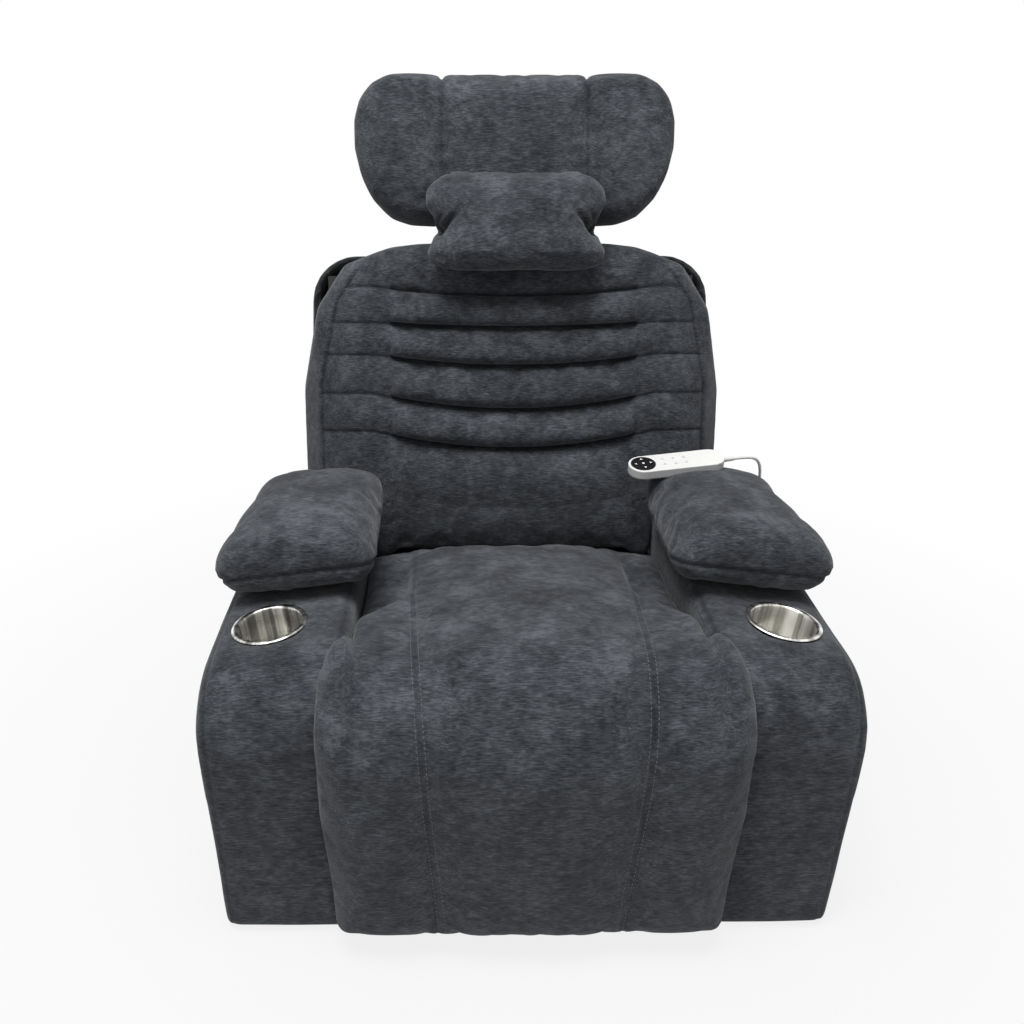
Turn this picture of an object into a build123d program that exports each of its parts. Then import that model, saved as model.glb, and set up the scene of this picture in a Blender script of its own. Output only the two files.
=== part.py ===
from build123d import *
import os
from math import cos, hypot, pi, radians, sin, sqrt, tan

# A power recliner with a chaise footrest, a tilting headrest and a corded handset.
# Millimetres, +Z up. The sitter faces -Y and +X is on the right of someone who looks at the chair.
# The origin is on the floor under the middle of the chair. "Depth" is measured back from the arm fronts.

# Driving dimensions: layout
ARM_FRONT_Y = -383.0
SEAT_GAP = 490.0
ARM_WIDTH = 187.0
ARM_DEPTH = 690.0
ARM_TOP = 432.0
ARM_TOP_FALL = 23.0
GLIDE_HEIGHT = 8.0
CLEARANCE = 0.3
RUNNING_FIT = 0.06

# Arms
ARM_FRONT_ROUND = 100.0
ARM_EDGE_ROUND = 10.0
ARM_INNER_ROUND = 26.0
ARM_OUTER_ROUND = 30.0
ARM_FLARE = 12.0
ARM_REAR_SLOPE_DEPTH = 575.0
ARM_REAR_DROP = 162.0
ARM_WALL = 14.0
ARM_CAVITY_TOP = 325.0
ARM_FRAME_DEPTH = 600.0
PANEL_THICKNESS = 15.0
GLIDE_DIAMETER = 36.0
GLIDE_INSET = 34.0

# Cup holders
CUP_DEPTH_FROM_FRONT = 157.0
CUP_FROM_INNER_FACE = 117.0
CUP_BORE = 90.0
CUP_WALL = 1.2
CUP_HEIGHT = 74.0
CUP_FLANGE = 108.0
CUP_RIM = 2.4

# Arm pads
PAD_START = 207.0
PAD_END = 488.0
PAD_INNER_OVERHANG = 30.0
PAD_OUTER_OVERHANG = 22.0
PAD_REAR_TAPER = 26.0
PAD_CROWN = 527.0
PAD_REAR_RISE = 8.0
PAD_NOSE_LIFT = 24.0
PAD_NOSE_LENGTH = 60.0

# Seat, footrest hinge and chaise pad
SEAT_REAR = 478.0
SEAT_FRONT_TOP = 430.0
SEAT_REAR_TOP = 386.0
SEAT_BOTTOM = 305.0
SEAT_FRONT_LOW = 100.0
SEAT_FRAME_HEIGHT = 26.0
SEAT_RAIL_WIDTH = 35.0
SPRING_ROOM = 5.0
SEAM_HALF = 132.0
FOOT_HINGE_DEPTH = 55.0
FOOT_HINGE_Z = 315.0
CHAISE_HALF = 283.0
CHAISE_REACH = 115.0
CHAISE_THICKNESS = 45.0
CHAISE_BEND_BOTTOM = 256.0
FOOT_PAD_BOTTOM = 40.0
FOOT_PAD_CROWN = 6.0
BOARD_THICKNESS = 15.0

# Mechanism
PLATE_THICKNESS = 4.8
PLATE_GAP = 0.2
PLATE_BOTTOM = 130.0
EAR_RADIUS = 24.0
HINGE_TUBE = 22.0
CROSS_TUBE = 30.0
CROSS_TUBE_WALL = 2.0
DRIVE_Z = 241.0
ACTUATOR_TUBE = 34.0
ROD = 18.0
MOTOR = 44.0
MOTOR_LENGTH = 95.0
GEARBOX = 52.0
GEARBOX_LENGTH = 50.0
CRANK_PIN = 12.0
CRANK_THICKNESS = 8.0
FORK_WALL = 6.0
FOOT_CRANK = 90.0
FOOT_CRANK_ANGLE = -55.0
FOOT_TRAVEL_DEG = 85.0
FOOT_DRIVE_X = -90.0
FOOT_SLOT_PLAY = 3.2
BACK_CRANK = 95.0
BACK_CRANK_ANGLE = -68.0
BACK_TRAVEL_DEG = 45.0
BACK_DRIVE_X = 90.0
BACK_SLOT_PLAY = 0.8
BOLT = 8.0
BOLT_HEAD = 13.0

# Backrest, in its own leaning frame: x across, a to the rear, b up along the back
BACK_PIVOT_DEPTH = 530.0
BACK_PIVOT_Z = 330.0
BACK_LEAN = 14.0
BACK_PIN = 16.0
BACK_FRONT = -41.0
BACK_REAR = 59.7
BACK_TOP = 551.0
BACK_LOW = 25.0
WING_LOW = 132.0
WING_HALF = 361.0
WAIST_HALF = 239.5
CHANNEL_HALF = 238.0
CHANNEL_HEIGHTS = (459.0, 405.0, 341.0, 268.0, 202.0)
CHANNEL_RISES = (14.0, 9.0, 20.0, 28.0, 30.0)
CHANNEL_BULGE = 11.0
FRAME_FRONT = 62.0
FRAME_BAR = 25.0
SHELL_HALF = 361.0
SHELL_TOP_HALF = 347.0
SHELL_TOP = 530.0
SHELL_LOW = -30.0
SHELL_REAR = 135.0
SHELL_WALL = 12.0
SHELL_CORNER = 80.0
POST_OUTER = 215.0
BRACKET_THICKNESS = 7.0
BRACKET_FOOT = 8.0
BRACKET_HEIGHT = 95.0

# Headrest and neck pillow
HEAD_PIVOT_A = 80.0
HEAD_PIVOT_B = 556.0
HEAD_PIN = 10.0
HEAD_CRANK = 25.0
HEAD_TRAVEL_DEG = 30.0
HEAD_LOW = 575.0
HEAD_TOP = 814.0
HEAD_HALF = 260.0
HEAD_SEAM = 119.0
HEAD_POST_X = 70.0
HEAD_ARM_X = 53.0
HEAD_ROD = 8.0
HEAD_ACTUATOR = 22.0
PILLOW_BACK = -39.4

# Handset
HANDSET_LENGTH = 160.0
HANDSET_WIDTH = 48.0
HANDSET_THICKNESS = 17.0
HANDSET_WALL = 2.0
HANDSET_CENTRE_X = 260.0
HANDSET_DEPTH = 450.0
HANDSET_UNDERSIDE = 532.85
HANDSET_YAW = 8.0
HANDSET_PITCH = 3.0
HANDSET_ROLL = 10.0
KEY_TRAVEL = 1.0
KEY_PROUD = 0.8
KEY_FLANGE = 1.0
DIAL_RADIUS = 20.0
DIAL_PROUD = 0.5
DIAL_KEY_RADIUS = 3.5
DIAL_KEY_RING = 12.5
SMALL_KEY_RADIUS = 3.0
SMALL_KEY_PITCH = 18.0
SMALL_KEY_GAP = 14.0
CORD = 5.0
STRAIN_RELIEF_LENGTH = 18.0

# Derived values
INNER_X = SEAT_GAP / 2
OUTER_X = INNER_X + ARM_WIDTH
PLATE_INNER_X = INNER_X - PLATE_GAP - PLATE_THICKNESS
FOOT_HINGE_Y = ARM_FRONT_Y + FOOT_HINGE_DEPTH
BACK_PIVOT_Y = ARM_FRONT_Y + BACK_PIVOT_DEPTH
LEAN = radians(BACK_LEAN)
BACK_UP = Vector(0, sin(LEAN), cos(LEAN))
BACK_OUT = Vector(0, cos(LEAN), -sin(LEAN))
BACK_ORIGIN = Vector(0, BACK_PIVOT_Y, BACK_PIVOT_Z)
CHAISE_FRONT = FOOT_HINGE_DEPTH - CHAISE_REACH
CROSS_TUBE_TOP = DRIVE_Z - ACTUATOR_TUBE / 2 - CLEARANCE
SEAT_FRAME_BOTTOM = SEAT_BOTTOM - SEAT_FRAME_HEIGHT - SPRING_ROOM

os.makedirs("parts", exist_ok=True)


def at_depth(depth):
    """Y of a point that lies this far behind the arm fronts."""
    return ARM_FRONT_Y + depth


def side_plane(x):
    """Upright plane across X whose sketch axes are Y and Z."""
    return Plane.YZ.offset(x)


def front_plane(y):
    """Upright plane across Y whose sketch axes are X and Z."""
    return Plane(origin=(0, y, 0), x_dir=(1, 0, 0), z_dir=(0, -1, 0))


def back_point(x, a, b):
    """Point of the leaning backrest frame in chair coordinates."""
    return BACK_ORIGIN + Vector(x, 0, 0) + BACK_OUT * a + BACK_UP * b


def back_side_plane(x):
    """Plane across X whose sketch axes are the backrest's a and b."""
    return Plane(origin=back_point(x, 0, 0), x_dir=BACK_OUT, z_dir=(1, 0, 0))


def back_face_plane(a):
    """Plane along the backrest whose sketch axes are X and b; it faces the sitter."""
    return Plane(origin=back_point(0, a, 0), x_dir=(1, 0, 0), z_dir=BACK_OUT * -1)


def back_level_plane(b):
    """Plane across the backrest whose sketch axes are X and a; it faces up along the back."""
    return Plane(origin=back_point(0, 0, b), x_dir=(1, 0, 0), z_dir=BACK_UP)


def both_sides(stations):
    """Stations given from the middle outwards, mirrored to run from left to right."""
    return [-x for x in reversed(stations) if x > 0] + list(stations)


def outline(*corners):
    """Closed outline, anticlockwise: each corner is (u, v, bulge of the edge that follows)."""
    for (u, v, bulge), (to_u, to_v, _) in zip(corners, corners[1:] + corners[:1]):
        if bulge == 0:
            Line((u, v), (to_u, to_v))
        else:
            push = bulge / hypot(to_u - u, to_v - v)
            middle = ((u + to_u) / 2 + push * (to_v - v), (v + to_v) / 2 - push * (to_u - u))
            ThreePointArc((u, v), middle, (to_u, to_v))


def between(x, stations, values):
    """Value at x on the straight lines through (station, value)."""
    for left, right, low, high in zip(stations, stations[1:], values, values[1:]):
        if x <= right:
            return low + (high - low) * max(x - left, 0) / (right - left)
    return values[-1]


def save(builder, name):
    """Label the finished piece and write it."""
    builder.part.label = name
    export_step(builder.part, f"parts/{name}.step")


# Arms: an upholstered box on a board frame, with a rounded front and a top that falls outwards
def arm_top(x):
    """Height of the arm's flat top at this distance from the middle of the chair."""
    return ARM_TOP - ARM_TOP_FALL * (x - INNER_X) / ARM_WIDTH


def arm_drop(depth):
    """How far the arm's top edge is below its flat stretch."""
    if depth < ARM_FRONT_ROUND:
        return ARM_FRONT_ROUND - sqrt(ARM_FRONT_ROUND**2 - (ARM_FRONT_ROUND - depth) ** 2)
    if depth > ARM_REAR_SLOPE_DEPTH:
        return ARM_REAR_DROP * (depth - ARM_REAR_SLOPE_DEPTH) / (ARM_DEPTH - ARM_REAR_SLOPE_DEPTH)
    return 0.0


def arm_outline(depth):
    """Cross-section of the right arm at a depth, drawn in at its very front."""
    inset = ARM_EDGE_ROUND * max(0.0, 1 - depth / ARM_EDGE_ROUND)
    left = INNER_X + inset
    right = OUTER_X - inset
    shoulder = right + ARM_FLARE
    drop = arm_drop(depth)
    round_bulge = 1 - sqrt(0.5)
    outline(
        (left, GLIDE_HEIGHT, 0),
        (right, GLIDE_HEIGHT, 0),
        (shoulder, arm_top(shoulder) - drop - ARM_OUTER_ROUND, ARM_OUTER_ROUND * round_bulge),
        (shoulder - ARM_OUTER_ROUND, arm_top(shoulder - ARM_OUTER_ROUND) - drop, 0),
        (left + ARM_INNER_ROUND, arm_top(left + ARM_INNER_ROUND) - drop, ARM_INNER_ROUND * round_bulge),
        (left, arm_top(left) - drop - ARM_INNER_ROUND, 0),
    )


def arm_side(z):
    """Distance of the arm's outer side from the middle of the chair, at a height on its straight stretch."""
    shoulder = OUTER_X + ARM_FLARE
    rise = arm_top(shoulder) - ARM_OUTER_ROUND - GLIDE_HEIGHT
    return OUTER_X + ARM_FLARE * (z - GLIDE_HEIGHT) / rise


CUP_X = INNER_X + CUP_FROM_INNER_FACE
CUP_PLANE = Plane(
    origin=(CUP_X, at_depth(CUP_DEPTH_FROM_FRONT), arm_top(CUP_X)),
    x_dir=(ARM_WIDTH, 0, -ARM_TOP_FALL),
    z_dir=(ARM_TOP_FALL, 0, ARM_WIDTH),
)
BOLT_PLACES = ((110.0, 170.0), (300.0, 160.0), (470.0, 170.0))
ARM_NOSE_STATIONS = (0.0, ARM_EDGE_ROUND, ARM_FRONT_ROUND / 4, ARM_FRONT_ROUND / 2, ARM_FRONT_ROUND * 3 / 4)
ARM_STATIONS = ARM_NOSE_STATIONS + (ARM_FRONT_ROUND, ARM_REAR_SLOPE_DEPTH, ARM_DEPTH)
FRAME_INNER_X = INNER_X + ARM_WALL + CLEARANCE
FRAME_OUTER_X = OUTER_X - ARM_WALL - CLEARANCE

with BuildPart() as right_arm_cover:
    for station in ARM_STATIONS:
        with BuildSketch(front_plane(at_depth(station))):
            with BuildLine():
                arm_outline(station)
            make_face()
    loft(ruled=True)
    with Locations(((INNER_X + OUTER_X) / 2, at_depth(ARM_WALL), GLIDE_HEIGHT)):
        Box(
            ARM_WIDTH - 2 * ARM_WALL,
            ARM_FRAME_DEPTH - ARM_WALL,
            ARM_CAVITY_TOP - GLIDE_HEIGHT,
            align=(Align.CENTER, Align.MIN, Align.MIN),
            mode=Mode.SUBTRACT,
        )
    with BuildSketch(CUP_PLANE):
        Circle(CUP_BORE / 2 + CUP_WALL + CLEARANCE)
    extrude(amount=-(CUP_HEIGHT + CLEARANCE), mode=Mode.SUBTRACT)
    with BuildSketch(side_plane(INNER_X)):
        with Locations(*[(at_depth(depth), z) for depth, z in BOLT_PLACES]):
            Circle(BOLT / 2 + RUNNING_FIT)
    extrude(amount=ARM_WALL, mode=Mode.SUBTRACT)
save(right_arm_cover, "right_arm_cover")

with BuildPart() as left_arm_cover:
    mirror(right_arm_cover.part, about=Plane.YZ)
save(left_arm_cover, "left_arm_cover")

with BuildPart() as right_arm_frame:
    with BuildSketch(Plane.XY.offset(GLIDE_HEIGHT)):
        with Locations(((FRAME_INNER_X + FRAME_OUTER_X) / 2, at_depth((ARM_WALL + ARM_FRAME_DEPTH) / 2))):
            Rectangle(FRAME_OUTER_X - FRAME_INNER_X, ARM_FRAME_DEPTH - ARM_WALL - 2 * CLEARANCE)
            Rectangle(
                FRAME_OUTER_X - FRAME_INNER_X - 2 * PANEL_THICKNESS,
                ARM_FRAME_DEPTH - ARM_WALL - 2 * CLEARANCE - 2 * PANEL_THICKNESS,
                mode=Mode.SUBTRACT,
            )
    extrude(amount=ARM_CAVITY_TOP - GLIDE_HEIGHT - CLEARANCE)
    with BuildSketch(side_plane(FRAME_INNER_X)):
        with Locations(*[(at_depth(depth), z) for depth, z in BOLT_PLACES]):
            Circle(BOLT / 2 + RUNNING_FIT)
    extrude(amount=PANEL_THICKNESS, mode=Mode.SUBTRACT)
save(right_arm_frame, "right_arm_frame")

with BuildPart() as left_arm_frame:
    mirror(right_arm_frame.part, about=Plane.YZ)
save(left_arm_frame, "left_arm_frame")

GLIDE_X = (INNER_X + OUTER_X) / 2
with BuildPart() as floor_glides:
    with BuildSketch():
        for glide_depth in (GLIDE_INSET, ARM_FRAME_DEPTH - GLIDE_INSET + ARM_WALL):
            with Locations((-GLIDE_X, at_depth(glide_depth)), (GLIDE_X, at_depth(glide_depth))):
                Circle(GLIDE_DIAMETER / 2)
    extrude(amount=GLIDE_HEIGHT)
save(floor_glides, "floor_glides")

with BuildPart() as right_cup_holder:
    with BuildSketch(CUP_PLANE):
        Circle(CUP_BORE / 2 + CUP_WALL)
    extrude(amount=-CUP_HEIGHT)
    with BuildSketch(CUP_PLANE.offset(CLEARANCE)):
        Circle(CUP_FLANGE / 2)
    extrude(amount=CUP_RIM)
    with BuildSketch(CUP_PLANE):
        Circle(CUP_BORE / 2 + CUP_WALL)
    extrude(amount=CLEARANCE)
    with BuildSketch(CUP_PLANE.offset(CUP_RIM + CLEARANCE)):
        Circle(CUP_BORE / 2)
    extrude(amount=-(CUP_HEIGHT + CUP_RIM + CLEARANCE - CUP_WALL), mode=Mode.SUBTRACT)
save(right_cup_holder, "right_cup_holder")

with BuildPart() as left_cup_holder:
    mirror(right_cup_holder.part, about=Plane.YZ)
save(left_cup_holder, "left_cup_holder")

# Arm pads: plump pads with a crown, drawn in at both ends
PAD_INNER = INNER_X - PAD_INNER_OVERHANG
PAD_LENGTH = PAD_END - PAD_START
PAD_PLACES = (0.0, 0.06, 0.18, 0.5, 0.84, 0.95, 1.0)
PAD_FULLNESS = (0.62, 0.9, 1.0, 1.0, 0.98, 0.88, 0.62)
PAD_UPPER = PAD_CROWN - 15.0
PAD_WAIST = PAD_CROWN - 55.0
PAD_SHOULDER = 26.0
PAD_FOOT_OVERHANG = 8.0
PAD_SIDE_BULGE = 9.0
PAD_EDGE_BULGE = 4.0
PAD_TOP_BULGE = 10.0
PAD_INNER_RISE = 8.0
PAD_OUTER_DROP = 4.0
PAD_DRAW_IN = 0.3


def pad_outline(depth, fullness):
    """Cross-section of the right arm pad, shrunk towards its waist near the ends."""
    rise = PAD_REAR_RISE * (depth - PAD_START) / PAD_LENGTH
    lift = PAD_NOSE_LIFT * max(0.0, 1 - (depth - PAD_START) / PAD_NOSE_LENGTH)
    outer = OUTER_X + PAD_OUTER_OVERHANG - PAD_REAR_TAPER * (depth - PAD_START) / PAD_LENGTH
    middle = (PAD_INNER + outer) / 2

    def corner(x, z, bulge):
        height = PAD_WAIST + (z - PAD_WAIST) * fullness + rise * (z > PAD_WAIST)
        narrow = 1 - PAD_DRAW_IN * (1 - fullness)
        return (middle + (x - middle) * narrow, height, bulge * fullness)

    seat_inner = arm_top(INNER_X) + CLEARANCE + lift
    seat_outer = arm_top(outer - PAD_SHOULDER) + CLEARANCE + lift
    left_foot = corner(INNER_X - PAD_FOOT_OVERHANG, seat_inner, 0)
    right_foot = corner(outer - PAD_SHOULDER, seat_outer, PAD_EDGE_BULGE)
    outline(
        (left_foot[0], max(left_foot[1], arm_top(left_foot[0]) + CLEARANCE), 0),
        (right_foot[0], max(right_foot[1], arm_top(right_foot[0]) + CLEARANCE), right_foot[2]),
        corner(outer, PAD_WAIST - 2 * PAD_OUTER_DROP, PAD_SIDE_BULGE),
        corner(outer - PAD_SHOULDER, PAD_UPPER - PAD_OUTER_DROP, PAD_TOP_BULGE),
        corner(PAD_INNER + PAD_SHOULDER, PAD_UPPER + PAD_INNER_RISE, PAD_SIDE_BULGE),
        corner(PAD_INNER, PAD_WAIST + PAD_INNER_RISE, PAD_EDGE_BULGE),
    )


with BuildPart() as right_arm_pad:
    for place, fullness in zip(PAD_PLACES, PAD_FULLNESS):
        pad_depth = PAD_START + PAD_LENGTH * place
        with BuildSketch(front_plane(at_depth(pad_depth))):
            with BuildLine():
                pad_outline(pad_depth, fullness)
            make_face()
    loft(ruled=True)
save(right_arm_pad, "right_arm_pad")

with BuildPart() as left_arm_pad:
    mirror(right_arm_pad.part, about=Plane.YZ)
save(left_arm_pad, "left_arm_pad")

# Mechanism: two side plates, cross tubes between them and the bolts that hold the arms
PLATE_CORNERS = (
    (FOOT_HINGE_DEPTH - EAR_RADIUS, 200.0),
    (120.0, PLATE_BOTTOM),
    (500.0, PLATE_BOTTOM),
    (BACK_PIVOT_DEPTH + EAR_RADIUS, 200.0),
    (BACK_PIVOT_DEPTH + EAR_RADIUS, BACK_PIVOT_Z),
    (BACK_PIVOT_DEPTH - EAR_RADIUS, BACK_PIVOT_Z),
    (480.0, SEAT_FRAME_BOTTOM + SEAT_FRAME_HEIGHT),
    (95.0, SEAT_FRAME_BOTTOM + SEAT_FRAME_HEIGHT),
    (FOOT_HINGE_DEPTH + EAR_RADIUS, FOOT_HINGE_Z),
    (FOOT_HINGE_DEPTH - EAR_RADIUS, FOOT_HINGE_Z),
)
with BuildPart() as side_plates:
    for plate_x in (PLATE_INNER_X, -PLATE_INNER_X - PLATE_THICKNESS):
        with BuildSketch(side_plane(plate_x)):
            with BuildLine():
                Polyline([(at_depth(depth), z) for depth, z in PLATE_CORNERS], close=True)
            make_face()
            with Locations((FOOT_HINGE_Y, FOOT_HINGE_Z), (BACK_PIVOT_Y, BACK_PIVOT_Z)):
                Circle(EAR_RADIUS)
            with Locations((FOOT_HINGE_Y, FOOT_HINGE_Z)):
                Circle(HINGE_TUBE / 2 + RUNNING_FIT, mode=Mode.SUBTRACT)
            with Locations((BACK_PIVOT_Y, BACK_PIVOT_Z)):
                Circle(BACK_PIN / 2 + RUNNING_FIT, mode=Mode.SUBTRACT)
            with Locations(*[(at_depth(depth), z) for depth, z in BOLT_PLACES]):
                Circle(BOLT / 2 + RUNNING_FIT, mode=Mode.SUBTRACT)
        extrude(amount=PLATE_THICKNESS)
save(side_plates, "side_plates")

FRONT_TUBE_DEPTH = 170.0
REAR_TUBE_DEPTH = 410.0
with BuildPart() as cross_tubes:
    for tube_depth in (FRONT_TUBE_DEPTH, REAR_TUBE_DEPTH):
        with BuildSketch(side_plane(-PLATE_INNER_X)):
            with Locations((at_depth(tube_depth), CROSS_TUBE_TOP - CROSS_TUBE / 2)):
                Rectangle(CROSS_TUBE, CROSS_TUBE)
                Rectangle(
                    CROSS_TUBE - 2 * CROSS_TUBE_WALL,
                    CROSS_TUBE - 2 * CROSS_TUBE_WALL,
                    mode=Mode.SUBTRACT,
                )
        extrude(amount=2 * PLATE_INNER_X)
save(cross_tubes, "cross_tubes")

BOLT_HEAD_HEIGHT = 5.5
with BuildPart() as arm_bolts:
    for depth, z in BOLT_PLACES:
        for side in (-1, 1):
            head_face = Plane(
                origin=(side * PLATE_INNER_X, at_depth(depth), z), x_dir=(0, 1, 0), z_dir=(side, 0, 0)
            )
            with BuildSketch(head_face):
                RegularPolygon(BOLT_HEAD / 2, 6)
            extrude(amount=-BOLT_HEAD_HEIGHT)
            with BuildSketch(head_face):
                Circle(BOLT / 2)
            extrude(amount=FRAME_INNER_X + PANEL_THICKNESS - PLATE_INNER_X)
save(arm_bolts, "arm_bolts")

# Seat: board frame, sinuous springs and the cushion
SEAT_FRAME_HALF = PLATE_INNER_X - CLEARANCE
SEAT_FRAME_FRONT = 115.0
SEAT_FRAME_REAR = SEAT_REAR - 8.0
SEAT_REAR_ROUND = 24.0
SEAT_FRAME_TOP = SEAT_FRAME_BOTTOM + SEAT_FRAME_HEIGHT
with BuildPart() as seat_frame:
    with BuildSketch(Plane.XY.offset(SEAT_FRAME_BOTTOM)):
        with Locations((0, at_depth((SEAT_FRAME_FRONT + SEAT_FRAME_REAR) / 2))):
            Rectangle(2 * SEAT_FRAME_HALF, SEAT_FRAME_REAR - SEAT_FRAME_FRONT)
            Rectangle(
                2 * (SEAT_FRAME_HALF - SEAT_RAIL_WIDTH),
                SEAT_FRAME_REAR - SEAT_FRAME_FRONT - 2 * SEAT_RAIL_WIDTH,
                mode=Mode.SUBTRACT,
            )
    extrude(amount=SEAT_FRAME_HEIGHT)
save(seat_frame, "seat_frame")

SPRING_WIRE = 4.0
SPRING_COUNT = 5
SPRING_SPACING = 78.0
SPRING_SWAY = 22.0
SPRING_TURNS = 15
SPRING_BEND = 8.0
SPRING_Z = SEAT_FRAME_TOP + SPRING_WIRE / 2 + CLEARANCE
with BuildPart() as seat_springs:
    spring_run = (SEAT_FRAME_REAR - SEAT_FRAME_FRONT - SEAT_RAIL_WIDTH) / SPRING_TURNS
    for count in range(SPRING_COUNT):
        spring_x = (count - (SPRING_COUNT - 1) / 2) * SPRING_SPACING
        wire_points = [
            (
                spring_x + SPRING_SWAY * (-1) ** turn,
                at_depth(SEAT_FRAME_FRONT + SEAT_RAIL_WIDTH / 2 + turn * spring_run),
                SPRING_Z,
            )
            for turn in range(SPRING_TURNS + 1)
        ]
        with BuildLine() as wire:
            FilletPolyline(wire_points, radius=SPRING_BEND)
        with BuildSketch(Plane(origin=wire.line @ 0, z_dir=wire.line % 0)):
            Circle(SPRING_WIRE / 2)
        sweep(path=wire.line)
save(seat_springs, "seat_springs")

SEAT_SIDE_GAP = 2.0
SEAT_STATIONS = (0.0, 66.0, SEAM_HALF - 10, SEAM_HALF, SEAM_HALF + 12, 205.0, 232.0, INNER_X - SEAT_SIDE_GAP)
SEAT_CROWN = (5.0, 4.0, 2.0, 0.0, -1.0, -2.0, -6.0, -14.0)


def seat_outline(x):
    """Fore-and-aft section of the seat cushion at a distance from its middle."""
    crown = between(x, SEAT_STATIONS, SEAT_CROWN)
    front = at_depth(FOOT_HINGE_DEPTH) + CLEARANCE
    outline(
        (at_depth(SEAT_FRONT_LOW), SEAT_BOTTOM, 0),
        (at_depth(SEAT_REAR - SEAT_REAR_ROUND / 4), SEAT_BOTTOM, 0),
        (at_depth(SEAT_REAR), SEAT_REAR_TOP - SEAT_REAR_ROUND + crown, SEAT_REAR_ROUND * 0.29),
        (at_depth(SEAT_REAR - SEAT_REAR_ROUND), SEAT_REAR_TOP + crown, SEAT_REAR_ROUND / 3),
        (front, SEAT_FRONT_TOP + crown, 0),
        (front, SEAT_FRONT_TOP - CHAISE_THICKNESS - EAR_RADIUS, 0),
        (at_depth(SEAT_FRONT_LOW), FOOT_HINGE_Z + EAR_RADIUS + SPRING_ROOM, 0),
    )


with BuildPart() as seat_cushion:
    for station in both_sides(SEAT_STATIONS):
        with BuildSketch(side_plane(station)):
            with BuildLine():
                seat_outline(abs(station))
            make_face()
    loft(ruled=True)
save(seat_cushion, "seat_cushion")

# Chaise bend: the soft knee that joins seat and footrest, with lobes that lap over the arm fronts
LOBE_START = INNER_X - 0.5
BEND_STATIONS = SEAT_STATIONS[:5] + (205.0, INNER_X - 1.5)
BEND_CROWN = SEAT_CROWN[:5] + (-4.0, -9.0)
LOBE_STATIONS = (LOBE_START, CHAISE_HALF - 16, CHAISE_HALF)
LOBE_THICKNESS = (13.0, 11.0, 4.0)
LOBE_SETBACK = (4.0, 8.0, 24.0)
LOBE_TOP_ANGLES = (90.0, 102.0, 124.0)
LOBE_GAP = 2.0


def bend_outline(x):
    """Section of the bend between the arms: a thick arch about the footrest hinge."""
    crown = between(x, BEND_STATIONS, BEND_CROWN)
    front = at_depth(CHAISE_FRONT) + FOOT_PAD_CROWN - crown
    inner = at_depth(CHAISE_FRONT + CHAISE_THICKNESS)
    top = SEAT_FRONT_TOP + crown
    outline(
        (front, CHAISE_BEND_BOTTOM, 0),
        (inner, CHAISE_BEND_BOTTOM, 0),
        (inner, FOOT_HINGE_Z, -20.5),
        (FOOT_HINGE_Y, SEAT_FRONT_TOP - CHAISE_THICKNESS, 0),
        (FOOT_HINGE_Y, top, 30),
        (front, FOOT_HINGE_Z, 0),
    )


def lobe_outline(x):
    """Section of a lobe: it follows the rounded arm front at a small distance."""
    thickness = between(x, LOBE_STATIONS, LOBE_THICKNESS)
    skin = ARM_FRONT_ROUND + LOBE_GAP
    centre_y = at_depth(ARM_FRONT_ROUND)
    centre_z = ARM_TOP - ARM_FRONT_ROUND
    upper = radians(between(x, LOBE_STATIONS, LOBE_TOP_ANGLES))
    sag = skin * (1 - cos((pi - upper) / 2))
    front = at_depth(CHAISE_FRONT) + FOOT_PAD_CROWN + between(x, LOBE_STATIONS, LOBE_SETBACK)
    outline(
        (front, CHAISE_BEND_BOTTOM, 0),
        (at_depth(-LOBE_GAP), CHAISE_BEND_BOTTOM, 0),
        (at_depth(-LOBE_GAP), centre_z, -sag),
        (centre_y + skin * cos(upper), centre_z + skin * sin(upper), 0),
        (centre_y + (skin + thickness) * cos(upper), centre_z + (skin + thickness) * sin(upper), 1.6 * sag),
        (front, FOOT_HINGE_Z, 0),
    )


with BuildPart() as chaise_bend:
    bend_stations = both_sides(BEND_STATIONS + LOBE_STATIONS)
    for station in bend_stations:
        with BuildSketch(side_plane(station)):
            with BuildLine():
                if abs(station) < LOBE_START:
                    bend_outline(abs(station))
                else:
                    lobe_outline(abs(station))
            make_face()
    loft(ruled=True)
save(chaise_bend, "chaise_bend")

# Footrest: welded hinge frame with crank, board and pad
FOOT_STATIONS = (0.0, 66.0, SEAM_HALF - 10, SEAM_HALF, SEAM_HALF + 12, 205.0, CHAISE_HALF - 16, CHAISE_HALF)
FOOT_CROWN = (6.0, 5.0, 2.0, -4.0, 0.0, 1.0, -4.0, -22.0)
FOOT_PAD_TOP = CHAISE_BEND_BOTTOM - CLEARANCE


def foot_pad_outline(x):
    """Upright section of the footrest pad at a distance from its middle."""
    crown = between(x, FOOT_STATIONS, FOOT_CROWN)
    back = at_depth(-LOBE_GAP)
    front = at_depth(CHAISE_FRONT) + FOOT_PAD_CROWN - crown
    thickness = back - front
    outline(
        (front, FOOT_PAD_BOTTOM + thickness * 0.45, thickness * 0.13),
        (front + thickness * 0.35, FOOT_PAD_BOTTOM, 0),
        (back - thickness * 0.2, FOOT_PAD_BOTTOM, thickness * 0.07),
        (back, FOOT_PAD_BOTTOM + thickness * 0.25, 0),
        (back, FOOT_PAD_TOP, 0),
        (front, FOOT_PAD_TOP, 0),
    )


with BuildPart() as footrest_pad:
    for station in both_sides(FOOT_STATIONS):
        with BuildSketch(side_plane(station)):
            with BuildLine():
                foot_pad_outline(abs(station))
            make_face()
    loft(ruled=True)
save(footrest_pad, "footrest_pad")

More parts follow.
